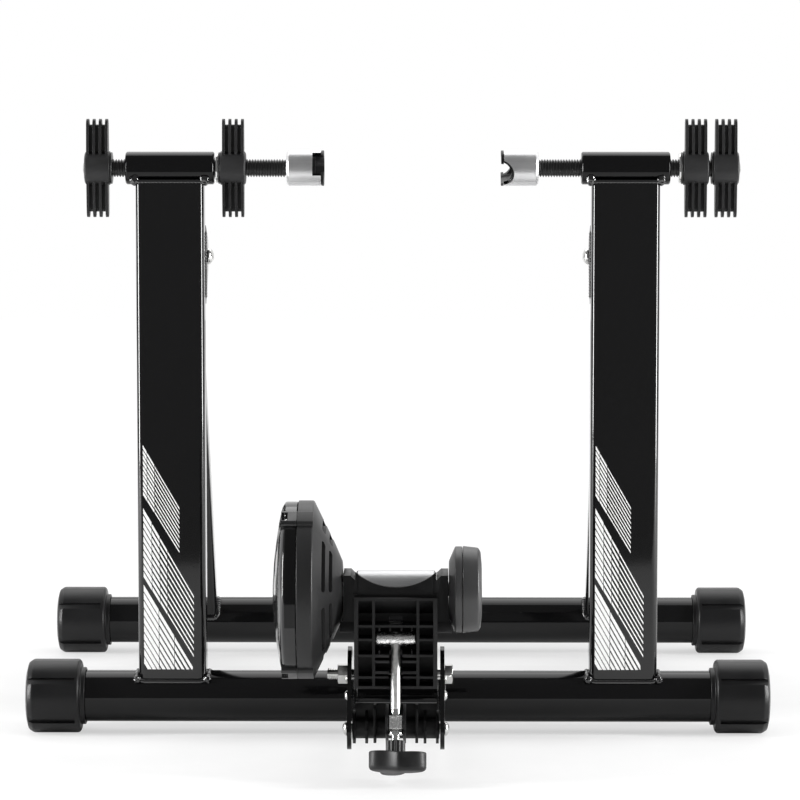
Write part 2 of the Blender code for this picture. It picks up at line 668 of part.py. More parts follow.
def rocker():
    """A ribbed plastic drum on the lower pin, with two cheeks that hold the trunnion."""
    at = (0, ROCKER_Y, ROCKER_Z)
    half = PLATE_IN - GAP - 0.3 * MM
    core = rod("rocker", 7 * MM, -half, half, at)
    trunnion = along_screw(TRUNNION_AT) - Vector(at)
    nose = (trunnion.y, trunnion.z)
    thin = 2 * MM
    small = [(0, 0, 10.5 * MM), (6 * MM, 4 * MM, 8 * MM)]
    tall = [(0, 0, 10.5 * MM), (1 * MM, 8 * MM, 9.5 * MM)]
    cheek = [(0, 0, 10.5 * MM), (1 * MM, 8 * MM, 9.5 * MM), (*nose, 7.5 * MM)]
    adds = []
    for sign in (-1, 1):
        for x, circles in ((29 * MM, small), (20.4 * MM, small), (14.6 * MM, tall), (6.1 * MM, cheek)):
            adds.append(slab("rib", [belt(circles, 36)], thin, (sign * x, at[1], at[2]), keep=False))
    web = block("web", (-28.6 * MM, 6 * MM, -5.6 * MM), (28.6 * MM, 9.1 * MM, 16.9 * MM), at)
    join(core, web, *adds)
    bore = rod("pin_hole", PIVOT_RADIUS + GAP, -40 * MM, 40 * MM, at, keep=False)
    cut(core, bore)
    return finish(settle(core), BLACK_PLASTIC)


def trunnion():
    """The steel cross block that holds the tension screw's lower end in the rocker."""
    at = along_screw(TRUNNION_AT)
    made = block("trunnion_block", (-4.6 * MM, -5 * MM, -5.4 * MM), (4.6 * MM, 5 * MM, 5.4 * MM), at,
                 Euler((-SCREW_LEAN, 0, 0)), keep=True)
    hole = rod("hole", 3 * MM + GAP, -20 * MM, 20 * MM, at, SCREW_TURN, keep=False)
    cut(made, hole)
    return finish(made, ZINC)


def tension_screw():
    """The screw with its shoulder above the trunnion and collar below it, and the three-lobed knob."""
    top = along_screw(0)
    shoulder = TRUNNION_AT - 5.4 * MM - GAP
    foot = KNOB_AT + KNOB_THICKNESS - 4 * MM
    collar = TRUNNION_AT + 5.4 * MM + GAP
    outline = [
        (-4.6 * MM, 0), (-4.6 * MM, SCREW_RADIUS), (shoulder - 4 * MM, SCREW_RADIUS), (shoulder, 3.2 * MM),
        (shoulder, 3 * MM), (collar, 3 * MM), (collar, 5 * MM), (collar + 2 * MM, 5 * MM),
        (collar + 2 * MM, 3 * MM), (foot, 3 * MM), (foot, 0),
    ]
    screw = finish(turned("tension_screw", outline, top, SCREW_TURN), ZINC)
    lobes = []
    count = 36
    for i in range(count):
        angle = 2 * math.pi * i / count
        reach = (16.8 + 5.4 * math.cos(3 * (angle - math.radians(KNOB_TURN)))) * MM
        lobes.append((reach * math.cos(angle), reach * math.sin(angle)))
    grip = slab("tension_knob", [lobes], KNOB_THICKNESS, along_screw(KNOB_AT + KNOB_THICKNESS / 2), SCREW_TURN)
    neck = rod("neck", 6.8 * MM, 71.5 * MM, KNOB_AT + 2 * MM, top, SCREW_TURN, keep=False)
    hole = rod("hole", 3 * MM + GAP, 60 * MM, foot + GAP, top, SCREW_TURN, keep=False)
    join(grip, neck)
    cut(grip, hole)
    finish(smooth(settle(grip), 40), BLACK_PLASTIC)
    turning = pivot("tension_spin", along_screw(KNOB_AT))
    carry(turning, screw, grip)
    cross = rod("screw_cross_bar", CROSS_BAR_RADIUS, -CROSS_BAR_HALF, CROSS_BAR_HALF, top)
    hole = rod("hole", SCREW_RADIUS + GAP, -10 * MM, 10 * MM, top, SCREW_TURN, keep=False)
    cut(cross, hole)
    finish(settle(cross), ZINC)
    slider = pivot("cross_bar_slide", top)
    carry(slider, cross)


# Yoke, roller and brake

def front(distance):
    """Y of a point at a distance in front of the base tube."""
    return FRONT_TUBE_Y - distance


def yoke():
    """The moulded yoke: ribbed panel, saddle, roller trough, and an arm with a bearing on each side."""
    y, z = FRONT_TUBE_Y, 0
    lip = 128.2 * MM
    side = [(-178 * MM, 64.5 * MM), (-178 * MM, lip), (-171.6 * MM, lip), (-171.6 * MM, 145 * MM)]
    back = arc((-152 * MM, ROLLER_Z), 20 * MM, 46, -20, 4)
    eye = arc((-140 * MM, TILT_Z), 9.6 * MM, 20, -90, 6)
    outline = (side + back + eye)[::-1]
    made = slab("yoke", [outline], 2 * PANEL_HALF, (0, y, z))
    arms = []
    for sign in (-1, 1):
        span = sorted((sign * (PANEL_HALF - 3 * MM), sign * ARM_OUT))
        arms.append(block("arm", (span[0], front(171 * MM), ARM_LOW), (span[1], front(136 * MM), ARM_HIGH)))
        tab = [(-168.2 * MM, 110.4 * MM), (-168.2 * MM, 103.2 * MM), (-174.2 * MM, 103.2 * MM),
               (-174.2 * MM, 104.4 * MM), (-171.3 * MM, 110.4 * MM)]
        wide = 39 * MM - PANEL_HALF + 3 * MM
        arms.append(slab("tab", [tab], wide, (sign * (39 * MM - wide / 2), y, z), keep=False))
    join(made, *arms)
    # The panel's pockets between the ribs, open to the front: left, right, then the middle column
    side_rows = ((66.4, 71.7), (73.3, 87), (88.6, 98.2), (99.8, 107.7), (109.3, 126.4))
    middle_rows = ((76.9, 82.6), (84.4, 86.6), (109.3, 126.4))
    pockets = []
    for left, right, rows in ((-26, -16.4, side_rows), (16.4, 26, side_rows), (-14.4, 14.4, middle_rows)):
        for low, high in rows:
            pockets.append(((left * MM, front(185 * MM), low * MM), (right * MM, front(161 * MM), high * MM)))
    # Windows for the screw's cross bar and over the pivot bolt, and the screw's way through the ribs
    pockets.append(((-14.4 * MM, front(185 * MM), 88.6 * MM), (14.4 * MM, front(154 * MM), 107.7 * MM)))
    pockets.append(((-14.4 * MM, front(185 * MM), 66.4 * MM), (14.4 * MM, front(141 * MM), 75 * MM)))
    cut(made, blocks("pockets", pockets))
    # The roller trough's round wall shows at the back of the top row
    join(made, rod("trough_wall", ROLLER_RADIUS + 4.8 * MM, -26.5 * MM, 26.5 * MM, (0, ROLLER_Y, ROLLER_Z), keep=False))
    screw_slot = block("screw_slot", (-4.6 * MM, -14 * MM, -60 * MM), (4.6 * MM, 6.6 * MM, 2 * MM), along_screw(0),
                       Euler((-SCREW_LEAN, 0, 0)))
    tail_slot = block("tail_slot", (-4.4 * MM, front(169 * MM), 99 * MM), (4.4 * MM, front(150 * MM), 113 * MM))
    room = ROLLER_HALF + 0.8 * MM
    trough = rod("trough", ROLLER_RADIUS + 2.4 * MM, -room, room, (0, ROLLER_Y, ROLLER_Z), keep=False)
    low = ROLLER_Z + 1.7 * MM
    open_top = block("open_top", (-room, front(168.2 * MM), low), (room, front(120 * MM), 160 * MM))
    inner = PANEL_HALF - 3 * MM
    hollow = block("hollow", (-inner, front(157.5 * MM), 80 * MM), (inner, front(110 * MM), 112 * MM))
    saddle = rod("saddle", 43 * MM, 100 * MM, 200 * MM, (0, FRONT_TUBE_Y, ROLLER_Z + 47.4 * MM),
                 Euler((math.pi / 2, 0, 0)), steps=64, keep=False)
    cut(made, screw_slot, tail_slot, trough, open_top, hollow, saddle)
    for sign in (-1, 1):
        # A slope beside the saddle, and a step that leaves the saddle plate proud
        slope = [(28.2 * MM, 139.6 * MM), (31.8 * MM, 143.2 * MM), (31.8 * MM, 152 * MM), (28.2 * MM, 152 * MM)]
        slope = [(sign * px, pz) for px, pz in slope]
        cut(made, slab("slope", [slope], 60 * MM, (0, front(155 * MM), 0), FACE_ON, keep=False))
        span = sorted((sign * 26 * MM, sign * (PANEL_HALF + 1 * MM)))
        cut(made, block("step", (span[0], front(173 * MM), lip + 2 * MM), (span[1], front(170.2 * MM), 150 * MM)))
        for name, radius, start in (("bearing_seat", BEARING_RADIUS + GAP, 29.6), ("shaft_hole", 6.5 * MM, 24)):
            low, high = sorted((sign * start * MM, sign * (ARM_OUT + 8 * MM)))
            cut(made, rod(name, radius, low, high, (0, ROLLER_Y, ROLLER_Z), keep=False))
    bore = rod("pivot_hole", PIVOT_RADIUS + GAP, -40 * MM, 40 * MM, (0, TILT_Y, TILT_Z), keep=False)
    cut(made, bore)
    return finish(smooth(settle(made), 30), BLACK_PLASTIC)


def bearings():
    made = []
    for side, sign in (("left", -1), ("right", 1)):
        low, high = sorted((sign * 30 * MM, sign * 35 * MM))
        piece = ring(f"{side}_roller_bearing", BEARING_RADIUS, SHAFT_RADIUS + GAP, low, high,
                     (0, ROLLER_Y, ROLLER_Z))
        made.append(finish(piece, ZINC))
    return made


def arc_slot(name, radius, width, start, end, low, high, at, keep=False):
    """A cutter for a curved slot through a disc or cone, angles in degrees from +Y towards +Z."""
    half = width / 2
    mid = (start + end) / 2
    outer = arc((0, 0), radius + half, start, end, 3)
    inner = arc((0, 0), radius - half, end, start, 3)
    made = slab(name, [outer + inner], high - low, (at[0] + (low + high) / 2, at[1], at[2]), keep=keep)
    return made


def drum_housing():
    """The inner drum half: a vented cone that widens into the rim, with three screw lugs."""
    at = (0, ROLLER_Y, ROLLER_Z)
    seam = SEAM_X + GAP / 2
    wall = 2.4 * MM
    rim = DRUM_RADIUS
    outline = [
        (seam, rim), (-57.4 * MM, rim), (-42.2 * MM, 31.2 * MM), (-37.2 * MM, 19.5 * MM), (-37.2 * MM, 9 * MM),
        (-39.8 * MM, 9 * MM), (-39.8 * MM, 18.2 * MM), (-44.5 * MM, 29.8 * MM), (-59.1 * MM, rim - wall), (seam, rim - wall),
    ]
    made = turned("drum_housing", outline, at)
    slots = []
    for radius, width in ((46.8 * MM, 4.8 * MM), (37.0 * MM, 4.6 * MM)):
        for i in range(6):
            start = i * 60 + 7
            slots.append(arc_slot("vent", radius, width, start, start + 47, -62 * MM, -36 * MM, at))
    for angle in LUG_ANGLES:
        lug = lug_block("lug", angle, seam, seam + 11 * MM, at)
        boss = rod("boss_hole", 1.7 * MM, seam - 2 * MM, seam + 7 * MM, lug_centre(angle), keep=False)
        join(made, lug)
        cut(made, boss)
    cut(made, *slots)
    return finish(smooth(settle(made), 30), BLACK_PLASTIC)


LUG_RADIUS = 58.2 * MM
LUG_HALF = 7.6 * MM
SCREW_FACE = SEAM_X - 6.4 * MM


def lug_centre(angle):
    """Centre of a screw lug, by its angle from the front, up."""
    turn = math.radians(angle)
    return (0, ROLLER_Y - LUG_RADIUS * math.cos(turn), ROLLER_Z + LUG_RADIUS * math.sin(turn))


def lug_block(name, angle, low, high, at, size=(12.6 * MM, 2 * LUG_HALF), out=0):
    """A round-cornered lug at the rim, drawn on the front side and turned into place."""
    loop = [(x - LUG_RADIUS - out, y) for x, y in rounded(*size, 2.5 * MM, 45)]
    turn = math.radians(-angle)
    loop = [(x * math.cos(turn) - y * math.sin(turn), x * math.sin(turn) + y * math.cos(turn)) for x, y in loop]
    return slab(name, [loop], high - low, ((low + high) / 2, at[1], at[2]), keep=False)


def drum_cover():
    """The outer drum half: a domed cap as wide as the housing, with an open seat for each screw."""
    at = (0, ROLLER_Y, ROLLER_Z)
    seam = SEAM_X - GAP / 2
    wall = 2.4 * MM
    rim = COVER_RADIUS
    outline = [
        (-86.2 * MM, 0), (-86 * MM, 14 * MM), (-84.8 * MM, 27 * MM), (-83.2 * MM, 39 * MM), (-81.2 * MM, 51 * MM),
        (-79.4 * MM, 58 * MM), (-77.2 * MM, rim), (seam, rim), (seam, rim - wall), (-76.6 * MM, rim - wall),
        (-79 * MM, 50 * MM), (-80.9 * MM, 38 * MM), (-82.4 * MM, 26 * MM), (-83.6 * MM, 13 * MM), (-83.8 * MM, 0),
    ]
    made = turned("drum_cover", outline, at)
    for angle in LUG_ANGLES:
        join(made, lug_block("lug", angle, SCREW_FACE - 4.6 * MM, seam, at))
        seat = lug_block("seat", angle, SCREW_FACE - 20 * MM, SCREW_FACE, at, (16 * MM, 8.8 * MM), 3.6 * MM)
        hole = rod("screw_hole", 2 * MM, seam - 20 * MM, seam + 2 * MM, lug_centre(angle), keep=False)
        cut(made, seat, hole)
    return finish(smooth(settle(made), 30), BLACK_PLASTIC)


def drum_screws():
    made = []
    seam = SEAM_X
    for place, angle in zip(("top", "rear", "bottom"), LUG_ANGLES):
        at = lug_centre(angle)
        face = SCREW_FACE - GAP
        outline = [
            (face - 2.6 * MM, 0), (face - 2.6 * MM, 2.4 * MM), (face - 1.2 * MM, 3.5 * MM), (face, 3.6 * MM),
            (face, 1.4 * MM), (seam + 6 * MM, 1.4 * MM), (seam + 6 * MM, 0),
        ]
        made.append(finish(turned(f"drum_screw_{place}", outline, at), ZINC))
    return made


def brake():
    """Inside the drum: the fixed plate with the ring magnet that brakes the disc."""
    at = (0, ROLLER_Y, ROLLER_Z)
    plate = finish(ring("magnet_plate", 47 * MM, 9 * MM, -79 * MM, -77.2 * MM, at), DARK_METAL)
    magnet = ring("ring_magnet", 45 * MM, 29 * MM, -77.2 * MM + GAP, -72 * MM, at)
    return [plate, finish(magnet, MAGNET)]


def small_housing():
    """The round housing on the right, in two halves, around the balance wheel."""
    at = (0, ROLLER_Y, ROLLER_Z)
    seam = SMALL_SEAM_X
    wall = 2 * MM
    rim = SMALL_RADIUS
    inner = [
        (37 * MM, 8 * MM), (37 * MM, 20 * MM), (40 * MM, 27 * MM), (41.4 * MM, rim), (seam - GAP / 2, rim),
        (seam - GAP / 2, rim - wall), (42.7 * MM, rim - wall), (41.1 * MM, 24.5 * MM), (39.2 * MM, 19 * MM), (39.2 * MM, 8 * MM),
    ]
    outer = [
        (seam + GAP / 2, rim + 0.3 * MM), (57.4 * MM, rim - 0.9 * MM), (59.2 * MM, 26.4 * MM), (60 * MM, 18 * MM), (60 * MM, 0),
        (58 * MM, 0), (58 * MM, 17 * MM), (56.4 * MM, rim - wall - 0.9 * MM), (seam + GAP / 2, rim - wall),
    ]
    outer = outer[5:] + outer[:5]
    return [finish(turned("small_housing", inner, at), BLACK_PLASTIC),
            finish(turned("small_cover", outer, at), BLACK_PLASTIC)]


def rotor():
    """What spins: shaft, roller, brake disc and balance wheel."""
    at = (0, ROLLER_Y, ROLLER_Z)
    made = [
        finish(rod("roller_shaft", SHAFT_RADIUS, -75 * MM, 55 * MM, at), ZINC),
        finish(turned("roller", [
            (-ROLLER_HALF, ROLLER_RADIUS - 1 * MM), (-ROLLER_HALF + 1 * MM, ROLLER_RADIUS),
            (ROLLER_HALF - 1 * MM, ROLLER_RADIUS), (ROLLER_HALF, ROLLER_RADIUS - 1 * MM),
            (ROLLER_HALF, SHAFT_RADIUS + GAP), (-ROLLER_HALF, SHAFT_RADIUS + GAP),
        ], at), ROLLER_STEEL),
        finish(turned("brake_disc", [
            (-69.5 * MM, 50 * MM), (-66 * MM, 50 * MM), (-66 * MM, 14 * MM), (-56 * MM, 14 * MM),
            (-56 * MM, SHAFT_RADIUS + GAP), (-69.5 * MM, SHAFT_RADIUS + GAP),
        ], at), ALUMINIUM),
        finish(ring("balance_wheel", 26 * MM, SHAFT_RADIUS + GAP, 44.5 * MM, 53.5 * MM, at), DARK_METAL),
    ]
    turning = pivot("roller_spin", at)
    carry(turning, *made)
    return turning


def build():
    rear_y = FRONT_TUBE_Y + BASE_SPREAD
    base_tube("front_base_tube", FRONT_TUBE_Y, FRONT_HALF_WIDTH)
    rear_tube = base_tube("rear_base_tube", rear_y, REAR_HALF_WIDTH)
    foot = feet()
    legs, bushes = [], []
    for side, sign in (("left", -1), ("right", 1)):
        upright(side, sign)
        sleeve(side, sign)
        fold_bracket(side, sign)
        legs.append(rear_leg(side, sign))
        mount_plate(side, sign)
        bushes.append(fold_pivot(side, sign)[1])
    rear_frame = pivot("rear_frame_fold", (0, FOLD_Y, FOLD_Z))
    carry(rear_frame, rear_tube, foot["rear", "left"], foot["rear", "right"], *bushes, *legs)
    knob_mesh = wing_knob_mesh()
    axle_screw("left", -1, LEFT_CUP_FACE, LEFT_END_KNOB, LEFT_LOCK_KNOB, knob_mesh)
    axle_screw("right", 1, RIGHT_CUP_FACE, RIGHT_END_KNOB, RIGHT_LOCK_KNOB, knob_mesh)
    tilt_bolt()
    rocker_pin()
    swing = pivot("rocker_swing", (0, ROCKER_Y, ROCKER_Z))
    carry(swing, rocker(), trunnion())
    tension_screw()
    turning = rotor()
    tilt = pivot("unit_tilt", (0, TILT_Y, TILT_Z))
    carry(tilt, yoke(), *bearings(), drum_housing(), drum_cover(), *drum_screws(), *brake(), *small_housing(), turning)
    for cutter in CUTTERS.objects:
        cutter.hide_render = True
        cutter.display_type = "WIRE"


build()
print("pieces:", sum(made.type == "MESH" for made in PARTS.objects))
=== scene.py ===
# %% [markdown]
# # A folding magnetic bicycle trainer
# This lesson dresses the solids of a wheel trainer: a steel stand that holds a bicycle's rear
# axle between two screwed cups, and presses its tyre on a braked roller.
# The solids give every place and size. Here each piece gets its fine shape, its threads, welds
# and finish, and then a plain studio is put round it. +Z is up, and the roller's side is at -Y.
# Shapes are given in millimetres and scaled to metres when they are placed.

import math

import bmesh
import bpy
from mathutils import Euler, Matrix, Vector, noise


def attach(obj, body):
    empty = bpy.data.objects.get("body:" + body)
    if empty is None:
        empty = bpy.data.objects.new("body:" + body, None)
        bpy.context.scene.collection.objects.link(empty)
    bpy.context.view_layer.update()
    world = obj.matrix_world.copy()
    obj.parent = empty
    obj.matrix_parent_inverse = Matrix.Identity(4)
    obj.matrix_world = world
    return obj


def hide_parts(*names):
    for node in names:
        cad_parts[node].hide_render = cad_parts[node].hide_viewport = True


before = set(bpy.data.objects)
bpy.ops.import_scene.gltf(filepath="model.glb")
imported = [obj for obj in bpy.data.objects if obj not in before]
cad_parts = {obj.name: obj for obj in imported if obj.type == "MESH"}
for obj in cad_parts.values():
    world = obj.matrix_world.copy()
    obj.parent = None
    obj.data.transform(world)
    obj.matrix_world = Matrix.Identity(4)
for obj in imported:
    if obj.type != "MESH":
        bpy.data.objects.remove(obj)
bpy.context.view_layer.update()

# %% [markdown]
# ## Sizes that many pieces share
# The stand is made of standard stock: 38 mm round tube for the two bases, 50 by 25 mm and 38 by
# 20 mm rectangular tube for the uprights and legs. A few named lengths place all of it.

# %% Shared sizes
MM = 0.001
FRONT_Y = -81.5                              # the front base tube
REAR_Y = FRONT_Y + 350                       # the rear base tube
TUBE_R = 19
WALL = 1.5                                   # of every tube
TUBE_Z = 26.8
AXLE_Z = 418.8
UPRIGHT_X = 166.8
FOLD_Y, FOLD_Z = FRONT_Y + 33, 352           # the pivots of the rear legs
ROLLER_Y, ROLLER_Z = FRONT_Y - 152, 130.5
TILT_Y, TILT_Z = FRONT_Y - 140, 68.5         # the bolt on which the unit tilts
ROCKER_Y, ROCKER_Z = FRONT_Y - 165, 34
SCREW_LEAN = math.radians(18.65)
SIDES = (("left", -1), ("right", 1))
print("axle height", AXLE_Z, "mm, base spread", REAR_Y - FRONT_Y, "mm")

# %% [markdown]
# ## Finishes: what surfaces share
# Powder coat has a faint orange peel, moulded nylon a fine spark-eroded grain, and every used
# surface has soft patches where hands and dust have changed its gloss. Each effect is a shader
# group, made once and placed in the materials with its own values. The groups work on object
# coordinates, so they stay on the piece when it moves.

# %% Helper: shader nodes and groups
def feed(tree, sockets, given):
    """Set input sockets, or link them where the value is another node's output."""
    for key, value in given.items():
        if hasattr(value, "is_linked"):
            tree.links.new(value, sockets[key])
        else:
            sockets[key].default_value = value


def node(tree, kind, given=None, **settings):
    """Add a shader node and return its outputs."""
    made = tree.nodes.new("ShaderNode" + kind)
    for key, value in settings.items():
        setattr(made, key, value)
    feed(tree, made.inputs, given or {})
    return made.outputs


def shader_group(name, inputs, outputs):
    """inputs: the default of each input, whose length tells its kind. outputs: the kind of each output."""
    tree = bpy.data.node_groups.new(name, "ShaderNodeTree")
    for label, default in inputs.items():
        kind = "Float" if isinstance(default, float) else {3: "Vector", 4: "Color"}[len(default)]
        tree.interface.new_socket(label, in_out="INPUT", socket_type="NodeSocket" + kind).default_value = default
    for label, kind in outputs.items():
        tree.interface.new_socket(label, in_out="OUTPUT", socket_type="NodeSocket" + kind)
    return tree, tree.nodes.new("NodeGroupInput").outputs, tree.nodes.new("NodeGroupOutput").inputs


def noise_node(tree, vector, scale, detail=3.0, roughness=0.5):
    return node(tree, "TexNoise", {"Vector": vector, "Scale": scale, "Detail": detail, "Roughness": roughness})["Fac"]


def spread(tree, value, low, high, from_low=0.3, from_high=0.7):
    """Map a value from one range to another. low and high are numbers or sockets."""
    return node(tree, "MapRange", {"Value": value, "From Min": from_low, "From Max": from_high,
                                   "To Min": low, "To Max": high})["Result"]


def blend_colours(tree, factor, first, second):
    return node(tree, "Mix", {"Factor": factor, 6: first, 7: second}, data_type="RGBA")[2]


def arithmetic(tree, operation, first, second):
    return node(tree, "Math", {0: first, 1: second}, operation=operation)[0]


def vector_maths(tree, operation, first, second):
    return node(tree, "VectorMath", {0: first, 1: second}, operation=operation)[0]


print("shader helpers ready")

# %% Group: patchy gloss
def make_patchy_gloss():
    """Soft patches and fine specks that change a colour and its roughness a little."""
    tree, given, result = shader_group(
        "patchy gloss",
        {"Vector": (0, 0, 0), "Colour": (0.5, 0.5, 0.5, 1), "Dusty Colour": (0.6, 0.6, 0.6, 1), "Dust": 0.1,
         "Smooth Roughness": 0.2, "Rough Roughness": 0.4, "Patch Scale": 20.0},
        {"Colour": "Color", "Roughness": "Float"})
    patches = noise_node(tree, given["Vector"], given["Patch Scale"], 4.0, 0.55)
    specks = spread(tree, noise_node(tree, given["Vector"], 900.0, 1.0), 0.0, 1.0, 0.62, 0.74)
    soft = spread(tree, patches, 0.0, 1.0, 0.35, 0.75)
    both = arithmetic(tree, "ADD", soft, arithmetic(tree, "MULTIPLY", specks, 0.35))
    dust = arithmetic(tree, "MULTIPLY", both, given["Dust"])
    feed(tree, result, {
        "Colour": blend_colours(tree, dust, given["Colour"], given["Dusty Colour"]),
        "Roughness": spread(tree, patches, given["Smooth Roughness"], given["Rough Roughness"], 0.3, 0.75)})
    return tree


PATCHY_GLOSS = make_patchy_gloss()
print("group:", PATCHY_GLOSS.name)

# %% Group: surface grain
def make_surface_grain():
    """Height of a fine grain over a slower swell: orange peel, moulded texture or a casting's skin."""
    tree, given, result = shader_group(
        "surface grain", {"Vector": (0, 0, 0), "Grain Scale": 800.0, "Swell Scale": 90.0, "Swell Share": 0.5},
        {"Height": "Float"})
    grain, swell = (noise_node(tree, given["Vector"], given[scale], 2.0) for scale in ("Grain Scale", "Swell Scale"))
    high = arithmetic(tree, "MULTIPLY", swell, given["Swell Share"])
    low = arithmetic(tree, "MULTIPLY", grain, arithmetic(tree, "SUBTRACT", 1.0, given["Swell Share"]))
    feed(tree, result, {"Height": arithmetic(tree, "ADD", high, low)})
    return tree


SURFACE_GRAIN = make_surface_grain()
print("group:", SURFACE_GRAIN.name)

# %% Group: tool marks
def make_tool_marks():
    """Fine rings left by turning: noise stretched across one direction."""
    tree, given, result = shader_group(
        "tool marks",
        {"Vector": (0, 0, 0), "Stretch": (1500.0, 12.0, 12.0), "Colour": (0.7, 0.7, 0.7, 1),
         "Mark Colour": (0.5, 0.5, 0.5, 1), "Strength": 0.3},
        {"Colour": "Color", "Height": "Float"})
    lines = noise_node(tree, vector_maths(tree, "MULTIPLY", given["Vector"], given["Stretch"]), 1.0, 3.0, 0.6)
    strength = arithmetic(tree, "MULTIPLY", spread(tree, lines, 0.0, 1.0), given["Strength"])
    feed(tree, result, {"Colour": blend_colours(tree, strength, given["Colour"], given["Mark Colour"]),
                        "Height": lines})
    return tree


TOOL_MARKS = make_tool_marks()
print("group:", TOOL_MARKS.name)

# %% [markdown]
# ## Finishes: the materials
# A finish here is a Principled shader fed by those groups. Object coordinates come in at one
# place, the patchy gloss sets colour and roughness, and the grain or the tool marks drive a
# small bump. Constant values, such as how metallic it is, sit on the shader itself.

# %% Helper: one finish
TURNED = (1600.0, 25.0, 25.0)                # rings round the X axis


def finish(name, colour, rough, dust, patch, dusty=None, metallic=0.0, grain=None, marks=None, specular=0.5):
    """grain: (grain scale, swell scale, swell share, depth in mm), marks: (colour, strength, depth in mm)."""
    skin = bpy.data.materials.new(name)
    skin.use_nodes = True
    skin.diffuse_color = (*colour, 1)
    tree = skin.node_tree
    place = node(tree, "TexCoord")["Object"]
    dusty = dusty or [min(1, c * 1.6 + 0.03) for c in colour]
    gloss = node(tree, "Group", {
        "Vector": place, "Colour": (*colour, 1), "Dusty Colour": (*dusty, 1), "Dust": dust,
        "Smooth Roughness": rough[0], "Rough Roughness": rough[1], "Patch Scale": patch}, node_tree=PATCHY_GLOSS)
    look = {"Base Color": gloss["Colour"], "Roughness": gloss["Roughness"], "Metallic": metallic,
            "Specular IOR Level": specular}
    if marks:
        fine = node(tree, "Group", {"Vector": place, "Colour": gloss["Colour"], "Stretch": TURNED,
                                    "Mark Colour": (*marks[0], 1), "Strength": marks[1]}, node_tree=TOOL_MARKS)
        look["Base Color"] = fine["Colour"]
    elif grain:
        fine = node(tree, "Group", {"Vector": place, "Grain Scale": grain[0], "Swell Scale": grain[1],
                                    "Swell Share": grain[2]}, node_tree=SURFACE_GRAIN)
    if marks or grain:
        depth = (marks or grain)[-1] * MM
        look["Normal"] = node(tree, "Bump", {"Strength": 1.0, "Distance": depth, "Height": fine["Height"]})["Normal"]
    feed(tree, tree.nodes["Principled BSDF"].inputs, look)
    return skin


print("finish helper ready")

# %% The finishes of this stand
COAT = dict(dust=0.04, patch=9.0, dusty=(0.012, 0.012, 0.013))
ORANGE_PEEL = (420.0, 120.0, 0.6, 0.006)
POWDER = finish("black powder coat", (0.0030, 0.0030, 0.0032), (0.05, 0.11), grain=ORANGE_PEEL, specular=0.27, **COAT)
STAND_POWDER = finish("black powder coat of the uprights", (0.0034, 0.0034, 0.0036), (0.04, 0.09),
                      grain=ORANGE_PEEL, specular=0.46, **COAT)
WELD_POWDER = finish("black powder coat over a weld", (0.004, 0.004, 0.0042), (0.03, 0.07),
                     grain=(700.0, 300.0, 0.6, 0.05), specular=1.0, **COAT)
NYLON = finish("black moulded nylon", (0.0055, 0.0055, 0.0058), (0.30, 0.44), 0.14, 24.0, (0.022, 0.022, 0.023),
               grain=(1500.0, 260.0, 0.2, 0.04), specular=0.25)
DARK_NYLON = finish("black glass-filled nylon", (0.0065, 0.0065, 0.0068), (0.38, 0.52), 0.12, 24.0,
                    (0.020, 0.020, 0.021), grain=(1500.0, 260.0, 0.2, 0.035), specular=0.28)
MOULDED = dict(rough=(0.33, 0.43), dust=0.18, patch=18.0, grain=(1300.0, 240.0, 0.25, 0.035))
SATIN_NYLON = finish("satin black drum nylon", (0.013, 0.013, 0.0133), dusty=(0.04, 0.04, 0.041), specular=0.34,
                     **MOULDED)
GREY_NYLON = finish("satin black housing nylon", (0.036, 0.036, 0.0366), dusty=(0.09, 0.09, 0.091), **MOULDED)
KNOB_NYLON = finish("worn knob nylon", (0.012, 0.012, 0.0124), (0.38, 0.54), 0.24, 45.0, (0.06, 0.06, 0.062),
                    grain=(1700.0, 320.0, 0.25, 0.05), specular=0.34)
GLOSS_SHELL = finish("glossy black shell", (0.012, 0.012, 0.0124), (0.06, 0.13), 0.05, 12.0,
                     grain=(900.0, 60.0, 0.8, 0.010))
THREAD = finish("black oxide thread", (0.018, 0.018, 0.018), (0.28, 0.42), 0.1, 60.0, grain=(900.0, 200.0, 0.5, 0.02))
FERRITE = finish("sintered ferrite", (0.05, 0.05, 0.052), (0.45, 0.6), 0.25, 140.0, grain=(1300.0, 300.0, 0.4, 0.04))
PRINT = finish("white print", (0.93, 0.93, 0.92), (0.35, 0.5), 0.05, 60.0, (0.74, 0.74, 0.73))
# painted shade: a near-black material for the brake disc and the walls of the drum's vents, so that the vents look
# black
PAINTED_SHADE_BLACK = finish("painted shade black of the brake disc and vent walls", (0.010, 0.010, 0.0103), (0.42, 0.55), 0.1, 60.0, (0.016, 0.016, 0.016),
                   marks=((0.006, 0.006, 0.006), 0.4, 0.008), specular=0.2)
FINE = (1200.0, 300.0, 0.5, 0.02)
ZINC = finish("bright zinc plate", (0.66, 0.66, 0.65), (0.08, 0.22), 0.25, 160.0, (0.42, 0.42, 0.41), 1.0, FINE)
ROLLED_ZINC = finish("zinc on a rolled thread", (0.86, 0.86, 0.85), (0.36, 0.5), 0.2, 200.0, (0.6, 0.6, 0.59), 1.0,
                     FINE)
ROUGH_ZINC = finish("cast zinc skin", (0.95, 0.95, 0.94), (0.20, 0.38), 0.5, 420.0, (0.34, 0.34, 0.34), 1.0,
                    (1000.0, 520.0, 0.75, 0.5))
DULL_STEEL = finish("dull plated steel", (0.42, 0.42, 0.42), (0.3, 0.48), 0.3, 110.0, (0.2, 0.2, 0.2), 1.0,
                    (900.0, 260.0, 0.5, 0.02))
ALUMINIUM = finish("turned aluminium", (0.70, 0.70, 0.705), (0.34, 0.44), 0.12, 70.0, metallic=1.0,
                   marks=((0.58, 0.58, 0.59), 0.35, 0.006))
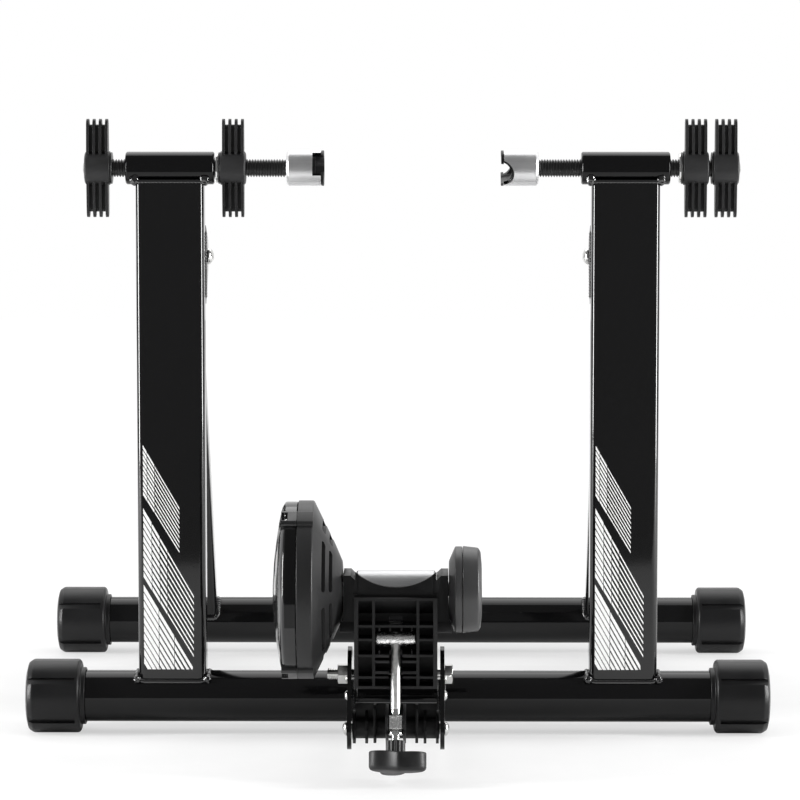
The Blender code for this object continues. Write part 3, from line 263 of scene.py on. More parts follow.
GROUND_STEEL = finish("ground roller steel", (0.56, 0.565, 0.57), (0.38, 0.50), 0.2, 30.0, metallic=1.0,
                      marks=((0.42, 0.42, 0.43), 0.4, 0.01))
CAST_IRON = finish("machined cast iron", (0.23, 0.23, 0.235), (0.35, 0.5), 0.25, 80.0, metallic=1.0,
                   marks=((0.15, 0.15, 0.15), 0.4, 0.01))
print("finishes:", len([skin for skin in bpy.data.materials if skin.use_nodes]))

# %% [markdown]
# ## Shape helpers
# Nearly every piece is one of three kinds: turned about an axis, cut from a flat outline, or
# joined and cut from such shapes. `turned` sweeps a profile and first eases its corners,
# because a real turned edge is never sharp. `flat` thickens an outline. `relief` adds a small
# Bevel to pieces that were cut, so that their edges catch the light.

# %% Helper: put a mesh in the scene
ALONG_X = Euler((0, math.pi / 2, 0))
AGAINST_X = Euler((0, -math.pi / 2, 0))
SIDE_ON = Euler((math.pi / 2, 0, math.pi / 2))  # outlines drawn as (y, z) stand across the X axis
UPRIGHT = Euler((0, 0, 0))
SCREW_TURN = Euler((math.pi - SCREW_LEAN, 0, 0))


def facing(sign):
    return ALONG_X if sign > 0 else AGAINST_X


def place(name, mesh, at=(0, 0, 0), turn=UPRIGHT):
    made = bpy.data.objects.new(name, mesh)
    made.location = Vector(at) * MM
    made.rotation_euler = turn
    bpy.context.scene.collection.objects.link(made)
    return made


def from_bmesh(name, work, at=(0, 0, 0), turn=UPRIGHT, unit=MM):
    """Put a bmesh in the scene. Its own measures are millimetres, or metres where unit is 1."""
    bmesh.ops.scale(work, vec=(unit, unit, unit), verts=work.verts)
    mesh = bpy.data.meshes.new(name)
    work.to_mesh(mesh)
    work.free()
    return place(name, mesh, at, turn)


def bake(made):
    """Keep the result of an object's modifiers as its own mesh."""
    bpy.context.view_layer.update()
    graph = bpy.context.evaluated_depsgraph_get()
    made.data = bpy.data.meshes.new_from_object(made.evaluated_get(graph))
    made.modifiers.clear()
    return made


def soften(made, angle=32):
    made.data.shade_smooth()
    made.data.set_sharp_from_angle(angle=math.radians(angle))
    return made


print("placing helpers ready")

# %% Helper: turned shapes
def on_circle(radius, angle, *along):
    return (radius * math.cos(angle), radius * math.sin(angle), *along)


def eased(outline, radius):
    """Round the corners of an open outline of (along, radius) pairs; ends and axis points stay."""
    points = []
    for i, here in enumerate(outline):
        if i in (0, len(outline) - 1) or radius <= 0 or here[1] < 1e-6:
            points.append(here)
            continue
        here = Vector(here)
        back, ahead = Vector(outline[i - 1]) - here, Vector(outline[i + 1]) - here
        reach = min(radius, back.length * 0.45, ahead.length * 0.45)
        start, end = here + back.normalized() * reach, here + ahead.normalized() * reach
        for t in (0, 1 / 3, 2 / 3, 1):
            points.append(tuple(start.lerp(here, t).lerp(here.lerp(end, t), t)))
    return points


def turned(name, outline, at=(0, 0, 0), turn=ALONG_X, ease=0.3, sides=64):
    """Sweep an outline round its axis. It runs up the outer side and back down the bore or to the axis."""
    outline = [(along * MM, radius * MM) for along, radius in outline]
    closed = outline[0][1] > 1e-6
    if closed:
        start = [(a + b) / 2 for a, b in zip(outline[0], outline[-1])]
        ring = eased([tuple(start), *outline, tuple(start)], ease * MM)[:-1]
    else:
        ring = eased(outline, ease * MM)
    work = bmesh.new()
    rows = []
    for along, radius in ring:
        if radius < 1e-6:
            rows.append([work.verts.new((0, 0, along))])
            continue
        rows.append([work.verts.new(on_circle(radius, 2 * math.pi * k / sides, along)) for k in range(sides)])
    pairs = list(zip(rows, rows[1:])) + ([(rows[-1], rows[0])] if closed else [])
    for low, high in pairs:
        for k in range(sides):
            n = (k + 1) % sides
            if len(low) == 1:
                work.faces.new((low[0], high[n], high[k]))
            elif len(high) == 1:
                work.faces.new((low[k], low[n], high[0]))
            else:
                work.faces.new((low[k], low[n], high[n], high[k]))
    bmesh.ops.recalc_face_normals(work, faces=work.faces)
    return soften(from_bmesh(name, work, at, turn, unit=1), 28)


def bar(name, radius, low, high, at=(0, 0, 0), turn=ALONG_X, ease=0.3, sides=48):
    return turned(name, [(low, 0), (low, radius), (high, radius), (high, 0)], at, turn, ease, sides)


def washer(name, radius, bore, low, high, at=(0, 0, 0), turn=ALONG_X, ease=0.25, sides=64):
    return turned(name, [(low, radius), (high, radius), (high, bore), (low, bore)], at, turn, ease, sides)


print("turning helpers ready")

# %% Helper: flat outlines
def arc(centre, radius, start, end, count):
    spots = (on_circle(radius, math.radians(start + (end - start) * i / count)) for i in range(count + 1))
    return [(centre[0] + x, centre[1] + y) for x, y in spots]


def belt(circles, step=8):
    """The outline of a belt round circles (x, y, radius) that are listed anticlockwise."""
    count = len(circles)
    leave = []
    for i in range(count):
        x0, y0, r0 = circles[i]
        x1, y1, r1 = circles[(i + 1) % count]
        run = math.hypot(x1 - x0, y1 - y0)
        leave.append(math.degrees(math.atan2(y1 - y0, x1 - x0) - math.acos((r0 - r1) / run)))
    points = []
    for i in range(count):
        x, y, radius = circles[i]
        sweep = (leave[i] - leave[i - 1]) % 360
        points += arc((x, y), radius, leave[i - 1], leave[i - 1] + sweep, max(2, round(sweep / step)))
    return points


def rounded(width, height, corner, step=11.25):
    x, y = width / 2 - corner, height / 2 - corner
    return belt([(x, y, corner), (-x, y, corner), (-x, -y, corner), (x, -y, corner)], step)


def flat(name, loops, thickness, at=(0, 0, 0), turn=SIDE_ON):
    """Thicken an outline both ways from its plane. Loops after the first are holes.

    The curve is drawn in metres at once, because its fill is made for that scale.
    """
    curve = bpy.data.curves.new(name, "CURVE")
    curve.dimensions = "2D"
    curve.fill_mode = "BOTH"
    curve.extrude = thickness / 2 * MM
    for loop in loops:
        spline = curve.splines.new("POLY")
        spline.points.add(len(loop) - 1)
        for point, (x, y) in zip(spline.points, loop):
            point.co = (x * MM, y * MM, 0, 1)
        spline.use_cyclic_u = True
    drawn = place(name + "_drawn", curve)
    bpy.context.view_layer.update()
    graph = bpy.context.evaluated_depsgraph_get()
    mesh = bpy.data.meshes.new_from_object(drawn.evaluated_get(graph))
    bpy.data.objects.remove(drawn, do_unlink=True)
    work = bmesh.new()
    work.from_mesh(mesh)
    bmesh.ops.remove_doubles(work, verts=work.verts, dist=0.01 * MM)
    bmesh.ops.dissolve_limit(work, angle_limit=0.0005, verts=work.verts, edges=work.edges)
    return soften(from_bmesh(name, work, at, turn, unit=1))


def block(name, low, high, at=(0, 0, 0), turn=UPRIGHT):
    work = bmesh.new()
    bmesh.ops.create_cube(work, size=1)
    low, high = Vector(low), Vector(high)
    bmesh.ops.scale(work, vec=high - low, verts=work.verts)
    bmesh.ops.translate(work, vec=(high + low) / 2, verts=work.verts)
    return from_bmesh(name, work, at, turn)


print("outline helpers ready")

# %% Helper: joining, cutting and small bevels
def combine(made, others, operation):
    for other in others:
        step = made.modifiers.new(operation.lower(), "BOOLEAN")
        step.object = other
        step.operation = operation
        step.solver = "EXACT"
    bake(made)
    for other in others:
        bpy.data.objects.remove(other, do_unlink=True)
    return made


def cut(made, *others):
    return combine(made, others, "DIFFERENCE")


def join(made, *others):
    return combine(made, others, "UNION")


def relief(made, width=0.3, angle=38, segments=2):
    """Round the edges that a cut or an outline left, by a width in millimetres."""
    step = made.modifiers.new("relief", "BEVEL")
    step.width = width * MM
    step.segments = segments
    step.limit_method = "ANGLE"
    step.angle_limit = math.radians(angle)
    step.harden_normals = True
    made.data.shade_smooth()
    return made


def dress(made, body, skin, slot, *nodes):
    """Give a piece its finish, let it ride on its body, and let it stand for the solids it replaces."""
    made.data.materials.clear()
    made.data.materials.append(skin)
    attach(made, body)
    if nodes:
        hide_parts(*nodes)
    return made


def skin_over(work, rings, capped=True):
    """Faces between rings of points that follow one another, and over the two ends."""
    for first, second in zip(rings, rings[1:]):
        for k in range(len(first)):
            n = (k + 1) % len(first)
            work.faces.new((first[k], first[n], second[n], second[k]))
    if capped:
        work.faces.new(rings[0][::-1])
        work.faces.new(rings[-1])
    bmesh.ops.recalc_face_normals(work, faces=work.faces)


print("joining helpers ready")

# %% Helper: weld beads
def bead(name, path, radius, body, closed=True, ripple=2.2):
    """A rippled weld bead swept along a path of points, tapered at its ends where it is open."""
    sides = 8
    points = []
    for here, ahead in zip(path, path[1:] + (path[:1] if closed else [])):
        count = max(1, round((ahead - here).length / 0.6))
        points += [here.lerp(ahead, k / count) for k in range(count)]
    if not closed:
        points.append(path[-1])
    work = bmesh.new()
    rings, travelled = [], 0.0
    for i, here in enumerate(points):
        back = points[i - 1] if i or closed else here
        ahead = points[(i + 1) % len(points)] if i + 1 < len(points) or closed else here
        along = (ahead - back).normalized()
        side = along.orthogonal().normalized() if not rings else (side - side.dot(along) * along).normalized()
        other = along.cross(side)
        swell = radius * (1 + 0.11 * math.sin(2 * math.pi * travelled / ripple))
        if not closed:
            swell *= min(1.0, 0.35 + min(i, len(points) - 1 - i) * 0.16)
        rings.append([work.verts.new(here + swell * (math.cos(a) * side + math.sin(a) * other))
                      for a in (2 * math.pi * k / sides for k in range(sides))])
        travelled += (ahead - here).length
    if closed:
        # the last ring meets the first with the least twist
        shift = min(range(sides), key=lambda n: (rings[-1][0].co - rings[0][n].co).length)
        rings.append(rings[0][shift:] + rings[0][:shift])
    skin_over(work, rings, capped=not closed)
    skin = WELD_POWDER if closed else POWDER
    return dress(soften(from_bmesh(name, work), 60), body, skin, "black_steel")


def lumps(name, middle, corner, radii):
    """Uneven lumps of weld metal at the four corners of a tube's end: balls of three radii, pushed about by noise."""
    work = bmesh.new()
    for sx, sy in ((-1, -1), (-1, 1), (1, -1), (1, 1)):
        spot = middle + Vector((sx * corner[0], sy * corner[1], corner[2]))
        for vert in bmesh.ops.create_icosphere(work, subdivisions=4, radius=1.0)["verts"]:
            way = vert.co.normalized()
            swell = 1 + 0.22 * noise.noise(way * 1.7 + spot * 0.9) + 0.09 * noise.noise(way * 5.0 + spot * 0.5)
            vert.co = spot + Vector((way.x * radii[0], way.y * radii[1], way.z * radii[2])) * swell
    return dress(soften(from_bmesh(name, work), 60), "front_frame", WELD_POWDER, "black_steel")


def coped_path(outline, origin, across, back, up, axis_y, axis_z, radius):
    """Where a tube of a given outline, standing on an axis along X, meets a round tube on that axis."""
    points = []
    for u, v in outline:
        start = origin + across * u + back * v
        y, z = start.y - axis_y, start.z - axis_z
        a, b, c = up.y ** 2 + up.z ** 2, 2 * (y * up.y + z * up.z), y * y + z * z - radius ** 2
        points.append(start + up * ((-b + math.sqrt(b * b - 4 * a * c)) / (2 * a)))
    return points


print("weld helper ready")

# %% [markdown]
# ## Base tubes
# Two lengths of 38 mm tube carry everything. A tube is the simplest turned shape, but the black
# coat mirrors the whole studio along it, so it gets many sides.

# %% Base tubes
# the Y and the half length of each
ENDS = (("front", FRONT_Y, 270.2), ("rear", REAR_Y, 281.0))
for row, y, half in ENDS:
    tube = washer(f"{row}_base_tube_coated", TUBE_R, TUBE_R - WALL, -half, half, (0, y, TUBE_Z), ease=0.2, sides=96)
    dress(tube, f"{row}_frame", POWDER, "black_steel", f"{row}_base_tube")
    print(tube.name, "length", half * 2, "mm")

# %% [markdown]
# ## Feet
# Each foot is a moulded cap with a collar against the tube, a domed end and four grooves that
# stop the stand rolling. One mesh is made and copied to the four corners. Two flats, above and
# below, let the foot stand whichever way round it was pushed on.

# %% One foot
FOOT_R, FOOT_LENGTH = 27.3, 44
FOOT_BEYOND = 5.3                            # how far a foot stands out past its tube's end


def make_foot():
    outline = [(39.6, 0), (39.6, 19.3), (0, 19.3), (0, 21.2), (3.3, 21.2), (3.5, 25.4), (5.2, FOOT_R), (38.6, FOOT_R),
               (42.3, 24.9), (43.7, 19.5), (FOOT_LENGTH, 12), (FOOT_LENGTH, 0)]
    made = turned("foot", outline, ease=0.9, sides=96)
    cutters = [block("groove", (7, 25.2, -2.5), (50, 31, 2.5), turn=Euler((math.radians(angle), 0, 0)))
               for angle in (33.5, 146.5, 213.5, 326.5)]
    cutters += [block("flat", (-1, -30, low), (46, 30, low + 5)) for low in (-TUBE_Z - 5, TUBE_Z)]
    return cut(made, *cutters)


foot_model = make_foot()
print("foot faces", len(foot_model.data.polygons))

# %% Four feet
for row, y, half in ENDS:
    for side, sign in SIDES:
        at = (sign * (half + FOOT_BEYOND - FOOT_LENGTH), y, TUBE_Z)
        foot = place(f"{row}_{side}_foot_moulded", foot_model.data.copy(), at, facing(sign))
        dress(relief(foot, 0.5, 40), f"{row}_frame", NYLON, "black_plastic", f"{row}_{side}_foot")
bpy.data.objects.remove(foot_model, do_unlink=True)
print("feet placed")

# %% [markdown]
# ## Uprights, sleeves and rear legs
# The uprights are rectangular tube. Their corners are round, and each corner shows a narrow
# bright line where it mirrors the side lights. They are coped, which means cut to the shape of
# the round tube they meet.

# %% Uprights and sleeves
def hollow(width, height, corner):
    """The two outlines of a rectangular tube."""
    return [rounded(width, height, corner), rounded(width - 2 * WALL, height - 2 * WALL, corner - WALL)]


for side, sign in SIDES:
    low, high = TUBE_Z, AXLE_Z - 9.5
    x = sign * UPRIGHT_X
    upright = flat(f"{side}_upright_coated", hollow(50, 25, 5), high - low, (x, FRONT_Y, (low + high) / 2), UPRIGHT)
    cut(upright, bar("cope", TUBE_R + 0.2, -50, 50, (x, FRONT_Y, TUBE_Z), sides=64),
        bar("cope", 12.2, -50, 50, (x, FRONT_Y, AXLE_Z), sides=64))
    dress(soften(upright), "front_frame", STAND_POWDER, "black_steel", f"{side}_upright_tube")
    half, bore = 32.5, 6.8
    ends = [(-half, bore + 1.2), (-half, 11), (-half + 1, 12), (half - 1, 12),
            (half, 11), (half, bore + 1.2), (half - 1.2, bore), (-half + 1.2, bore)]
    sleeve = turned(f"{side}_sleeve_coated", ends, (x, FRONT_Y, AXLE_Z), ease=0.35, sides=80)
    dress(sleeve, "front_frame", POWDER, "black_steel", f"{side}_axle_sleeve")
print("uprights and sleeves placed")

# %% Rear legs
def leg_frame(sign):
    """The leg's pivot, its foot on the rear tube, and its own across, back and up directions."""
    top = Vector((sign * UPRIGHT_X, FOLD_Y, FOLD_Z))
    foot = Vector((sign * (UPRIGHT_X + 5), REAR_Y, TUBE_Z))
    up = (top - foot).normalized()
    across = Vector((1, 0, 0))
    across = (across - across.dot(up) * up).normalized()
    return top, foot, across, up.cross(across), up


for side, sign in SIDES:
    top, foot, across, back, up = leg_frame(sign)
    length = (top - foot).length + 14
    turn = Matrix((across, back, up)).transposed().to_euler()
    leg = flat(f"{side}_leg_coated", hollow(38, 20, 4), length, foot + up * (length / 2), turn)
    cut(leg, bar("cope", TUBE_R + 0.2, -30, 30, foot, sides=64),
        bar("bush_hole", 6.3, -30, 30, top, sides=48))
    dress(soften(leg), "rear_frame", POWDER, "black_steel", f"{side}_rear_leg")
print("rear legs placed, length", round(length, 1), "mm")

# %% [markdown]
# A weld bead is a chain of small ripples. Each runs round a tube where it meets another, on a
# path worked out from the two tubes, and gathers in a lump at the tube's corners.

# %% Weld beads of the uprights and legs
for side, sign in SIDES:
    stand = Vector((sign * UPRIGHT_X, FRONT_Y, TUBE_Z))
    path = coped_path(rounded(53.0, 27.8, 6.0, 22.5), stand, *Matrix.Identity(3), FRONT_Y, TUBE_Z, TUBE_R + 0.1)
    bead(f"{side}_upright_lower_weld", path, 1.8, "front_frame")
    lumps(f"{side}_upright_lower_weld_ends", stand, (26.0, 13.6, 14.6), (3.0, 2.6, 3.2))
    crest = Vector((sign * UPRIGHT_X, FRONT_Y, AXLE_Z))
    # the bead stays under the sleeve at its sides and dips where the tube is cut to it
    path = [crest + Vector((x, y, -math.sqrt(max(9.3 ** 2, 13 ** 2 - y * y))))
            for x, y in rounded(52.0, 22.6, 4.5, 22.5)]
    bead(f"{side}_upright_upper_weld", path, 1.7, "front_frame", ripple=2.6)
    lumps(f"{side}_upright_upper_weld_ends", crest, (25.6, 10.6, -8.2), (3.4, 2.6, 3.8))
    top, foot, *axes = leg_frame(sign)
    path = coped_path(rounded(39.2, 21.2, 4.2, 22.5), foot, *axes, REAR_Y, TUBE_Z, TUBE_R + 0.4)
    bead(f"{side}_leg_weld", path, 2.1, "rear_frame")
    for edge, x in (("outer", 24.2), ("inner", -24.2)):
        line = [Vector((sign * (UPRIGHT_X + x), FRONT_Y + 12.2, FOLD_Z + z)) for z in (-31, 21)]
        bead(f"{side}_bracket_{edge}_weld", line, 1.7, "front_frame", closed=False)
print("welds placed")

# %% [markdown]
# ## Stripes
# Each upright carries three groups of ten slanted white stripes, screen printed on the coat.
# A stripe gets thinner to the right in steps. Here it is a row of strips, 0.05 mm proud.

# %% Stripes on the uprights
# each group's first and last stripe, as the X and Z of its left and its right end
STRIPES = {
    "left": (((-187.5, 214.5, -160.8, 168.6), (-187.5, 180.1, -161.0, 136.5)),
             ((-187.5, 166.9, -150.5, 102.8), (-187.5, 119.7, -150.8, 58.8)),
             ((-187.5, 109.6, -151.6, 48.8), (-187.5, 55.6, -151.6, -5.2))),
    "right": (((145.6, 214.2, 171.7, 168.9), (145.6, 179.8, 171.7, 136.5)),
              ((145.6, 167.2, 181.4, 103.2), (145.6, 120.0, 181.4, 59.0)),
              ((145.6, 110.0, 179.4, 50.1), (145.6, 56.0, 179.4, -3.9))),
}
# where each group's steps start, and how much of the pitch they fill
STEPS = (((0, 0.70), (3, 0.56), (8.5, 0.36)), ((0, 0.75), (6.2, 0.60), (12.1, 0.46), (17.6, 0.31)),
         ((0, 0.80), (11.1, 0.70), (22.4, 0.61)))
STRIPE_FLOOR = 48.8
STRIPE_GAP = 0.2
PRINT_LAYERS = (FRONT_Y - 12.3, FRONT_Y - 12.55)


def above_floor(corners, floor):
    """The part of a flat outline of (x, z) points that lies above a height."""
    kept = []
    for here, ahead in zip(corners, corners[1:] + corners[:1]):
        if here[1] >= floor:
            kept.append(here)
        if (here[1] >= floor) != (ahead[1] >= floor):
            t = (floor - here[1]) / (ahead[1] - here[1])
            kept.append((here[0] + (ahead[0] - here[0]) * t, floor))
    return kept


def stripes(side):
    work = bmesh.new()
    for (first, last), steps in zip(STRIPES[side], STEPS):
        pitch = (first[1] - last[1]) / 9
        for i in range(10):
            x0, z0, x1, z1 = (a + (b - a) * i / 9 for a, b in zip(first, last))
            slope = (z1 - z0) / (x1 - x0)
            edges = [x0 + start for start, _ in steps] + [x1]
            for k, (_, share) in enumerate(steps):
                left = edges[k] + (STRIPE_GAP if k else 0)
                right = edges[k + 1] - (STRIPE_GAP if k + 1 < len(steps) else 0)
                half = pitch * share / 2
                corners = above_floor([(x, z0 + (x - x0) * slope + rise) for x, rise in
                                       ((left, half), (left, -half), (right, -half), (right, half))], STRIPE_FLOOR)
                if len(corners) > 2:
                    skin_over(work, [[work.verts.new((x, y, z)) for x, z in corners] for y in PRINT_LAYERS])
    return from_bmesh(f"{side}_upright_stripes", work)


for side, sign in SIDES:
    printed = dress(stripes(side), "front_frame", PRINT, "black_steel")
    print(printed.name, "faces", len(printed.data.polygons))

# %% [markdown]
# ## Folding pivots
# Behind each upright a channel carries a rivet, and the leg turns on a nylon bush round it. The
# channel and the other deeply cut mouldings are good as they are: they stay as solids, and get
# a small Bevel and their finish.

# %% Helper: keep a solid, with fine edges
def keep(node, skin, width=0.3, angle=32):
    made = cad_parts[node]
    made.data.shade_smooth()
    made.modifiers.new("weld", "WELD").merge_threshold = 0.02 * MM
    relief(made, width, angle)
    for slot in made.material_slots:
        slot.material = skin
    if not made.material_slots:
        made.data.materials.append(skin)
    return made


print("keep helper ready")

# %% Brackets, rivets and bushes
for side, sign in SIDES:
    keep(f"{side}_fold_bracket", POWDER, 0.4)
    at, turn, half = (sign * UPRIGHT_X, FOLD_Y, FOLD_Z), facing(-sign), 25.3
    outline = [(-half - 2.2, 0), (-half - 2.2, 4.8), (-half - 1, 6.2), (-half, 6.3), (-half, 4), (half, 4),
               (half, 6.4), (half + 1.8, 6.1), (half + 3.6, 4.2), (half + 4.5, 1.6), (half + 4.5, 0)]
    rivet = turned(f"{side}_domed_rivet", outline, at, turn, ease=1.0)
    dress(rivet, "front_frame", ZINC, "zinc_steel", f"{side}_fold_rivet")
    bush = washer(f"{side}_turned_bush", 6, 4.3, -21.7, 21.7, at, turn)
    dress(bush, "rear_frame", NYLON, "nylon_bush", f"{side}_leg_bush")
print("pivots placed")

# %% [markdown]
# ## Axle screws
# The screws have a real thread. `threaded` builds it from a helix: along the bar every point
# climbs with its angle, and its radius follows the thread's section, so the ridges are smooth
# and the mesh stays small. The ends are clipped flat and tapered.

# %% Helper: a threaded bar
# a thread's section over one pitch: the share of the pitch, and the share of the depth cut away there
THREAD_SECTION = ((0.0, 0.0), (0.30, 0.0), (0.48, 1.0), (0.82, 1.0))


def threaded(name, radius, depth, pitch, low, high, at=(0, 0, 0), turn=ALONG_X, sides=28, taper=1.2):
    work = bmesh.new()
    turns = len(THREAD_SECTION)
    grid = []
    for row in range(int((high - low) / pitch + 2) * turns):
        share, drop = THREAD_SECTION[row % turns]
        base = low - pitch + (row // turns + share) * pitch
        made = []
        for k in range(sides):
            along = min(max(base + pitch * k / sides, low), high)
            clipped = max(0.0, 1 - min(along - low, high - along) / taper)
            reach = radius - depth * max(drop, clipped)
            made.append(work.verts.new(on_circle(reach, 2 * math.pi * k / sides, along)))
        grid.append(made)
    # after one turn a row goes on as the row that lies one pitch further
    for i in range(len(grid) - 1):
        for k in range(sides - 1):
            work.faces.new((grid[i][k], grid[i][k + 1], grid[i + 1][k + 1], grid[i + 1][k]))
        if i + turns + 1 < len(grid):
            work.faces.new((grid[i][-1], grid[i + turns][0], grid[i + turns + 1][0], grid[i + 1][-1]))
    bmesh.ops.remove_doubles(work, verts=work.verts, dist=1e-4)
    bmesh.ops.dissolve_degenerate(work, dist=1e-4, edges=work.edges)
    for end in (low, high):
        rim = [edge for edge in work.edges if edge.is_boundary and all(abs(v.co.z - end) < 1e-3 for v in edge.verts)]
        bmesh.ops.holes_fill(work, edges=rim, sides=0)
    bmesh.ops.recalc_face_normals(work, faces=work.faces)
    return soften(from_bmesh(name, work, at, turn), 40)


print("thread helper ready")

# %% Rods with their round end caps
# the X of each side's cup face, end knob and lock knob, and which way is inward
SCREWS = {"left": {"face": -54.0, "end": -220.0, "lock": -120.6, "inward": 1},
          "right": {"face": 75.5, "end": 240.2, "lock": 218.2, "inward": -1}}
CUP_DEPTH = 27.5
for side, sign in SIDES:
    screw = SCREWS[side]
    inward = screw["inward"]
    end, turn = (screw["end"] - inward * 10.9, FRONT_Y, AXLE_Z), facing(inward)
    length = abs(screw["face"] - inward * CUP_DEPTH - end[0]) - 0.3
    rod = threaded(f"{side}_screw_thread", 6.5, 0.95, 2.0, 1.2, length, end, turn)
    spigot = bar("spigot", 4.3, length - 1, length + 8.5, end, turn, sides=40)
    domed = turned("domed_end", [(0, 0), (0.25, 3), (1.2, 5.2), (1.7, 5.5), (1.7, 0)], end, turn, ease=0.8)
    dress(rod, f"{side}_rod", THREAD, "thread_steel", f"{side}_threaded_rod")
    dress(spigot, f"{side}_rod", DULL_STEEL, "thread_steel").name = f"{side}_screw_spigot"
    dress(domed, f"{side}_rod", ZINC, "zinc_steel").name = f"{side}_screw_end_cap"
    print(rod.name, "faces", len(rod.data.polygons))

# %% [markdown]
# ## Axle cups
# A turned aluminium cup takes the end of the bicycle's quick release, and a black liner stands
# 2 mm out of it. One side is notched with a U for the lever, the other has a straight notch.

# %% Cups and liners
def notch_cutter(side, face, size, half, back):
    """The cutter for one side's notch: a U of a radius, or a straight notch of a half height."""
    centre = (face, FRONT_Y, AXLE_Z)
    if side == "right":
        return bar("notch", size, -30, 30, centre, Euler((math.radians(110), 0, 0)), sides=64)
    return block("notch", (-back, -30, -half), (5, -2, half), centre, Euler((math.radians(-20), 0, 0)))


SHELL = [(0, 11.2), (1.8, 13), (25.3, 13), (25.3, 10.8), (9, 10.8), (9, 4.6), (0, 4.6)]
LINING = [(9.3, 4.6), (9.3, 10.5), (25.6, 10.5), (25.6, 13), (CUP_DEPTH, 13), (CUP_DEPTH, 8.6), (14, 6.4), (14, 4.6)]
for side, sign in SIDES:
    face, inward = SCREWS[side]["face"], SCREWS[side]["inward"]
    for name, outline, notch, skin, slot, node_name in (
            ("turned_cup", SHELL, (9.6, 8.8, 8.4), ALUMINIUM, "aluminium", "axle_cup"),
            ("moulded_liner", LINING, (7.6, 6.6, 6.2), NYLON, "liner_plastic", "cup_liner")):
        made = turned(f"{side}_{name}", outline, (face - inward * CUP_DEPTH, FRONT_Y, AXLE_Z), facing(inward),
                      ease=0.35, sides=96)
        cut(made, notch_cutter(side, face, *notch))
        dress(relief(made, 0.25, 40), f"{side}_cup", skin, slot, f"{side}_{node_name}")
print("cups placed")

# %% [markdown]
# ## Wing knobs
# A wing knob is moulded round a flanged steel nut. Its two wings are four thin fins on a web
# that stops short of their tips, so light shows between the tips.

# %% One wing knob
def make_knob():
    half = 9.3
    hub = turned("hub", [(-half, 0), (-half, 10.8), (-half + 1, 12.3), (half, 12.3), (half, 0)], ease=0.5)
    fin = belt([(0, 30.4, 5.6), (-1, 0, 6.9), (0, -30.4, 5.6), (1, 0, 6.9)], 12)
    web = belt([(0, 29.3, 2.6), (0, -29.3, 2.6)], 20)
    join(hub, flat("web", [web], 13.8), *[flat("fin", [fin], 2.0, (x, 0, 0)) for x in (-6.9, -2.3, 2.3, 6.9)])
    return cut(hub, bar("nut_room", 8.8, -half + 2.4, half + 2), bar("rod_room", 6.8, -half - 2, half))


knob_model = make_knob()
flanged = [(-6.3, 8.5), (9.6, 8.5), (9.6, 11.6), (10.8, 11.6), (10.8, 6.8), (-6.3, 6.8)]
for side, sign in SIDES:
    screw = SCREWS[side]
    lock_way = 1 if screw["lock"] < sign * UPRIGHT_X else -1
    for part, body, way in (("end", "rod", screw["inward"]), ("lock", "lock", lock_way)):
        at, turn = (screw[part], FRONT_Y, AXLE_Z), facing(way)
        knob = relief(place(f"{side}_{part}_wing_knob", knob_model.data.copy(), at, turn), 0.35, 40)
        dress(knob, f"{side}_{body}", KNOB_NYLON, "black_plastic", f"{side}_{part}_knob")
        nut = turned(f"{side}_{part}_flanged_nut", flanged, at, turn, ease=0.4)
        dress(nut, f"{side}_{body}", THREAD, "dark_steel", f"{side}_{part}_knob_nut")
    ring = washer(f"{side}_plain_washer", 11, 6.8, 11.1, 12.5, at, turn)
    dress(ring, f"{side}_lock_ring", ZINC, "zinc_steel", f"{side}_lock_washer")
bpy.data.objects.remove(knob_model, do_unlink=True)
print("wing knobs placed")

# %% [markdown]
# ## Mount plates, tilt bolt and rocker
# Two plates reach forward from the base tube. The unit tilts on a hexagon bolt between them,
# and the tension screw's lower end sits in a ribbed rocker on the pin below.

# %% Mount plates
PLATE_X, PLATE_THICK = 32.5, 3
for side, sign in SIDES:
    # the outline is drawn as (y, z), with y measured from the base tube
    outline = belt([(-14, 23, 6), (-14, 38, 6), (-140, TILT_Z, 19.5), (-168, 33.5, 13.5)], 6)
    holes = [arc((y - FRONT_Y, z), 4.3, 360, 12, 29) for y, z in ((TILT_Y, TILT_Z), (ROCKER_Y, ROCKER_Z))]
    plate = flat(f"{side}_cut_plate", [outline, *holes], PLATE_THICK, (sign * PLATE_X, FRONT_Y, 0))
    cut(plate, bar("cope", TUBE_R + 0.2, -50, 50, (0, FRONT_Y, TUBE_Z), sides=96))
    dress(relief(plate, 0.75, 40, 3), "front_frame", POWDER, "black_steel", f"{side}_mount_plate")
    for edge, x in (("outer", PLATE_X + 1.8), ("inner", PLATE_X - 1.8)):
        line = [Vector((sign * x, FRONT_Y - y, z)) for y, z in arc((0, TUBE_Z), TUBE_R + 0.6, -24, 66, 18)]
        bead(f"{side}_plate_{edge}_weld", line, 1.5, "front_frame", closed=False, ripple=1.9)
    button = turned(f"{side}_plate_rivet_head",
                    [(33.6, 0), (33.6, 3.5), (34.6, 3.4), (35.9, 2.2), (36.2, 0.9), (36.2, 0)],
                    (0, FRONT_Y - 150, 54.9), facing(sign), ease=0.5, sides=40)
    dress(button, "front_frame", ZINC, "zinc_steel")
print("mount plates placed")

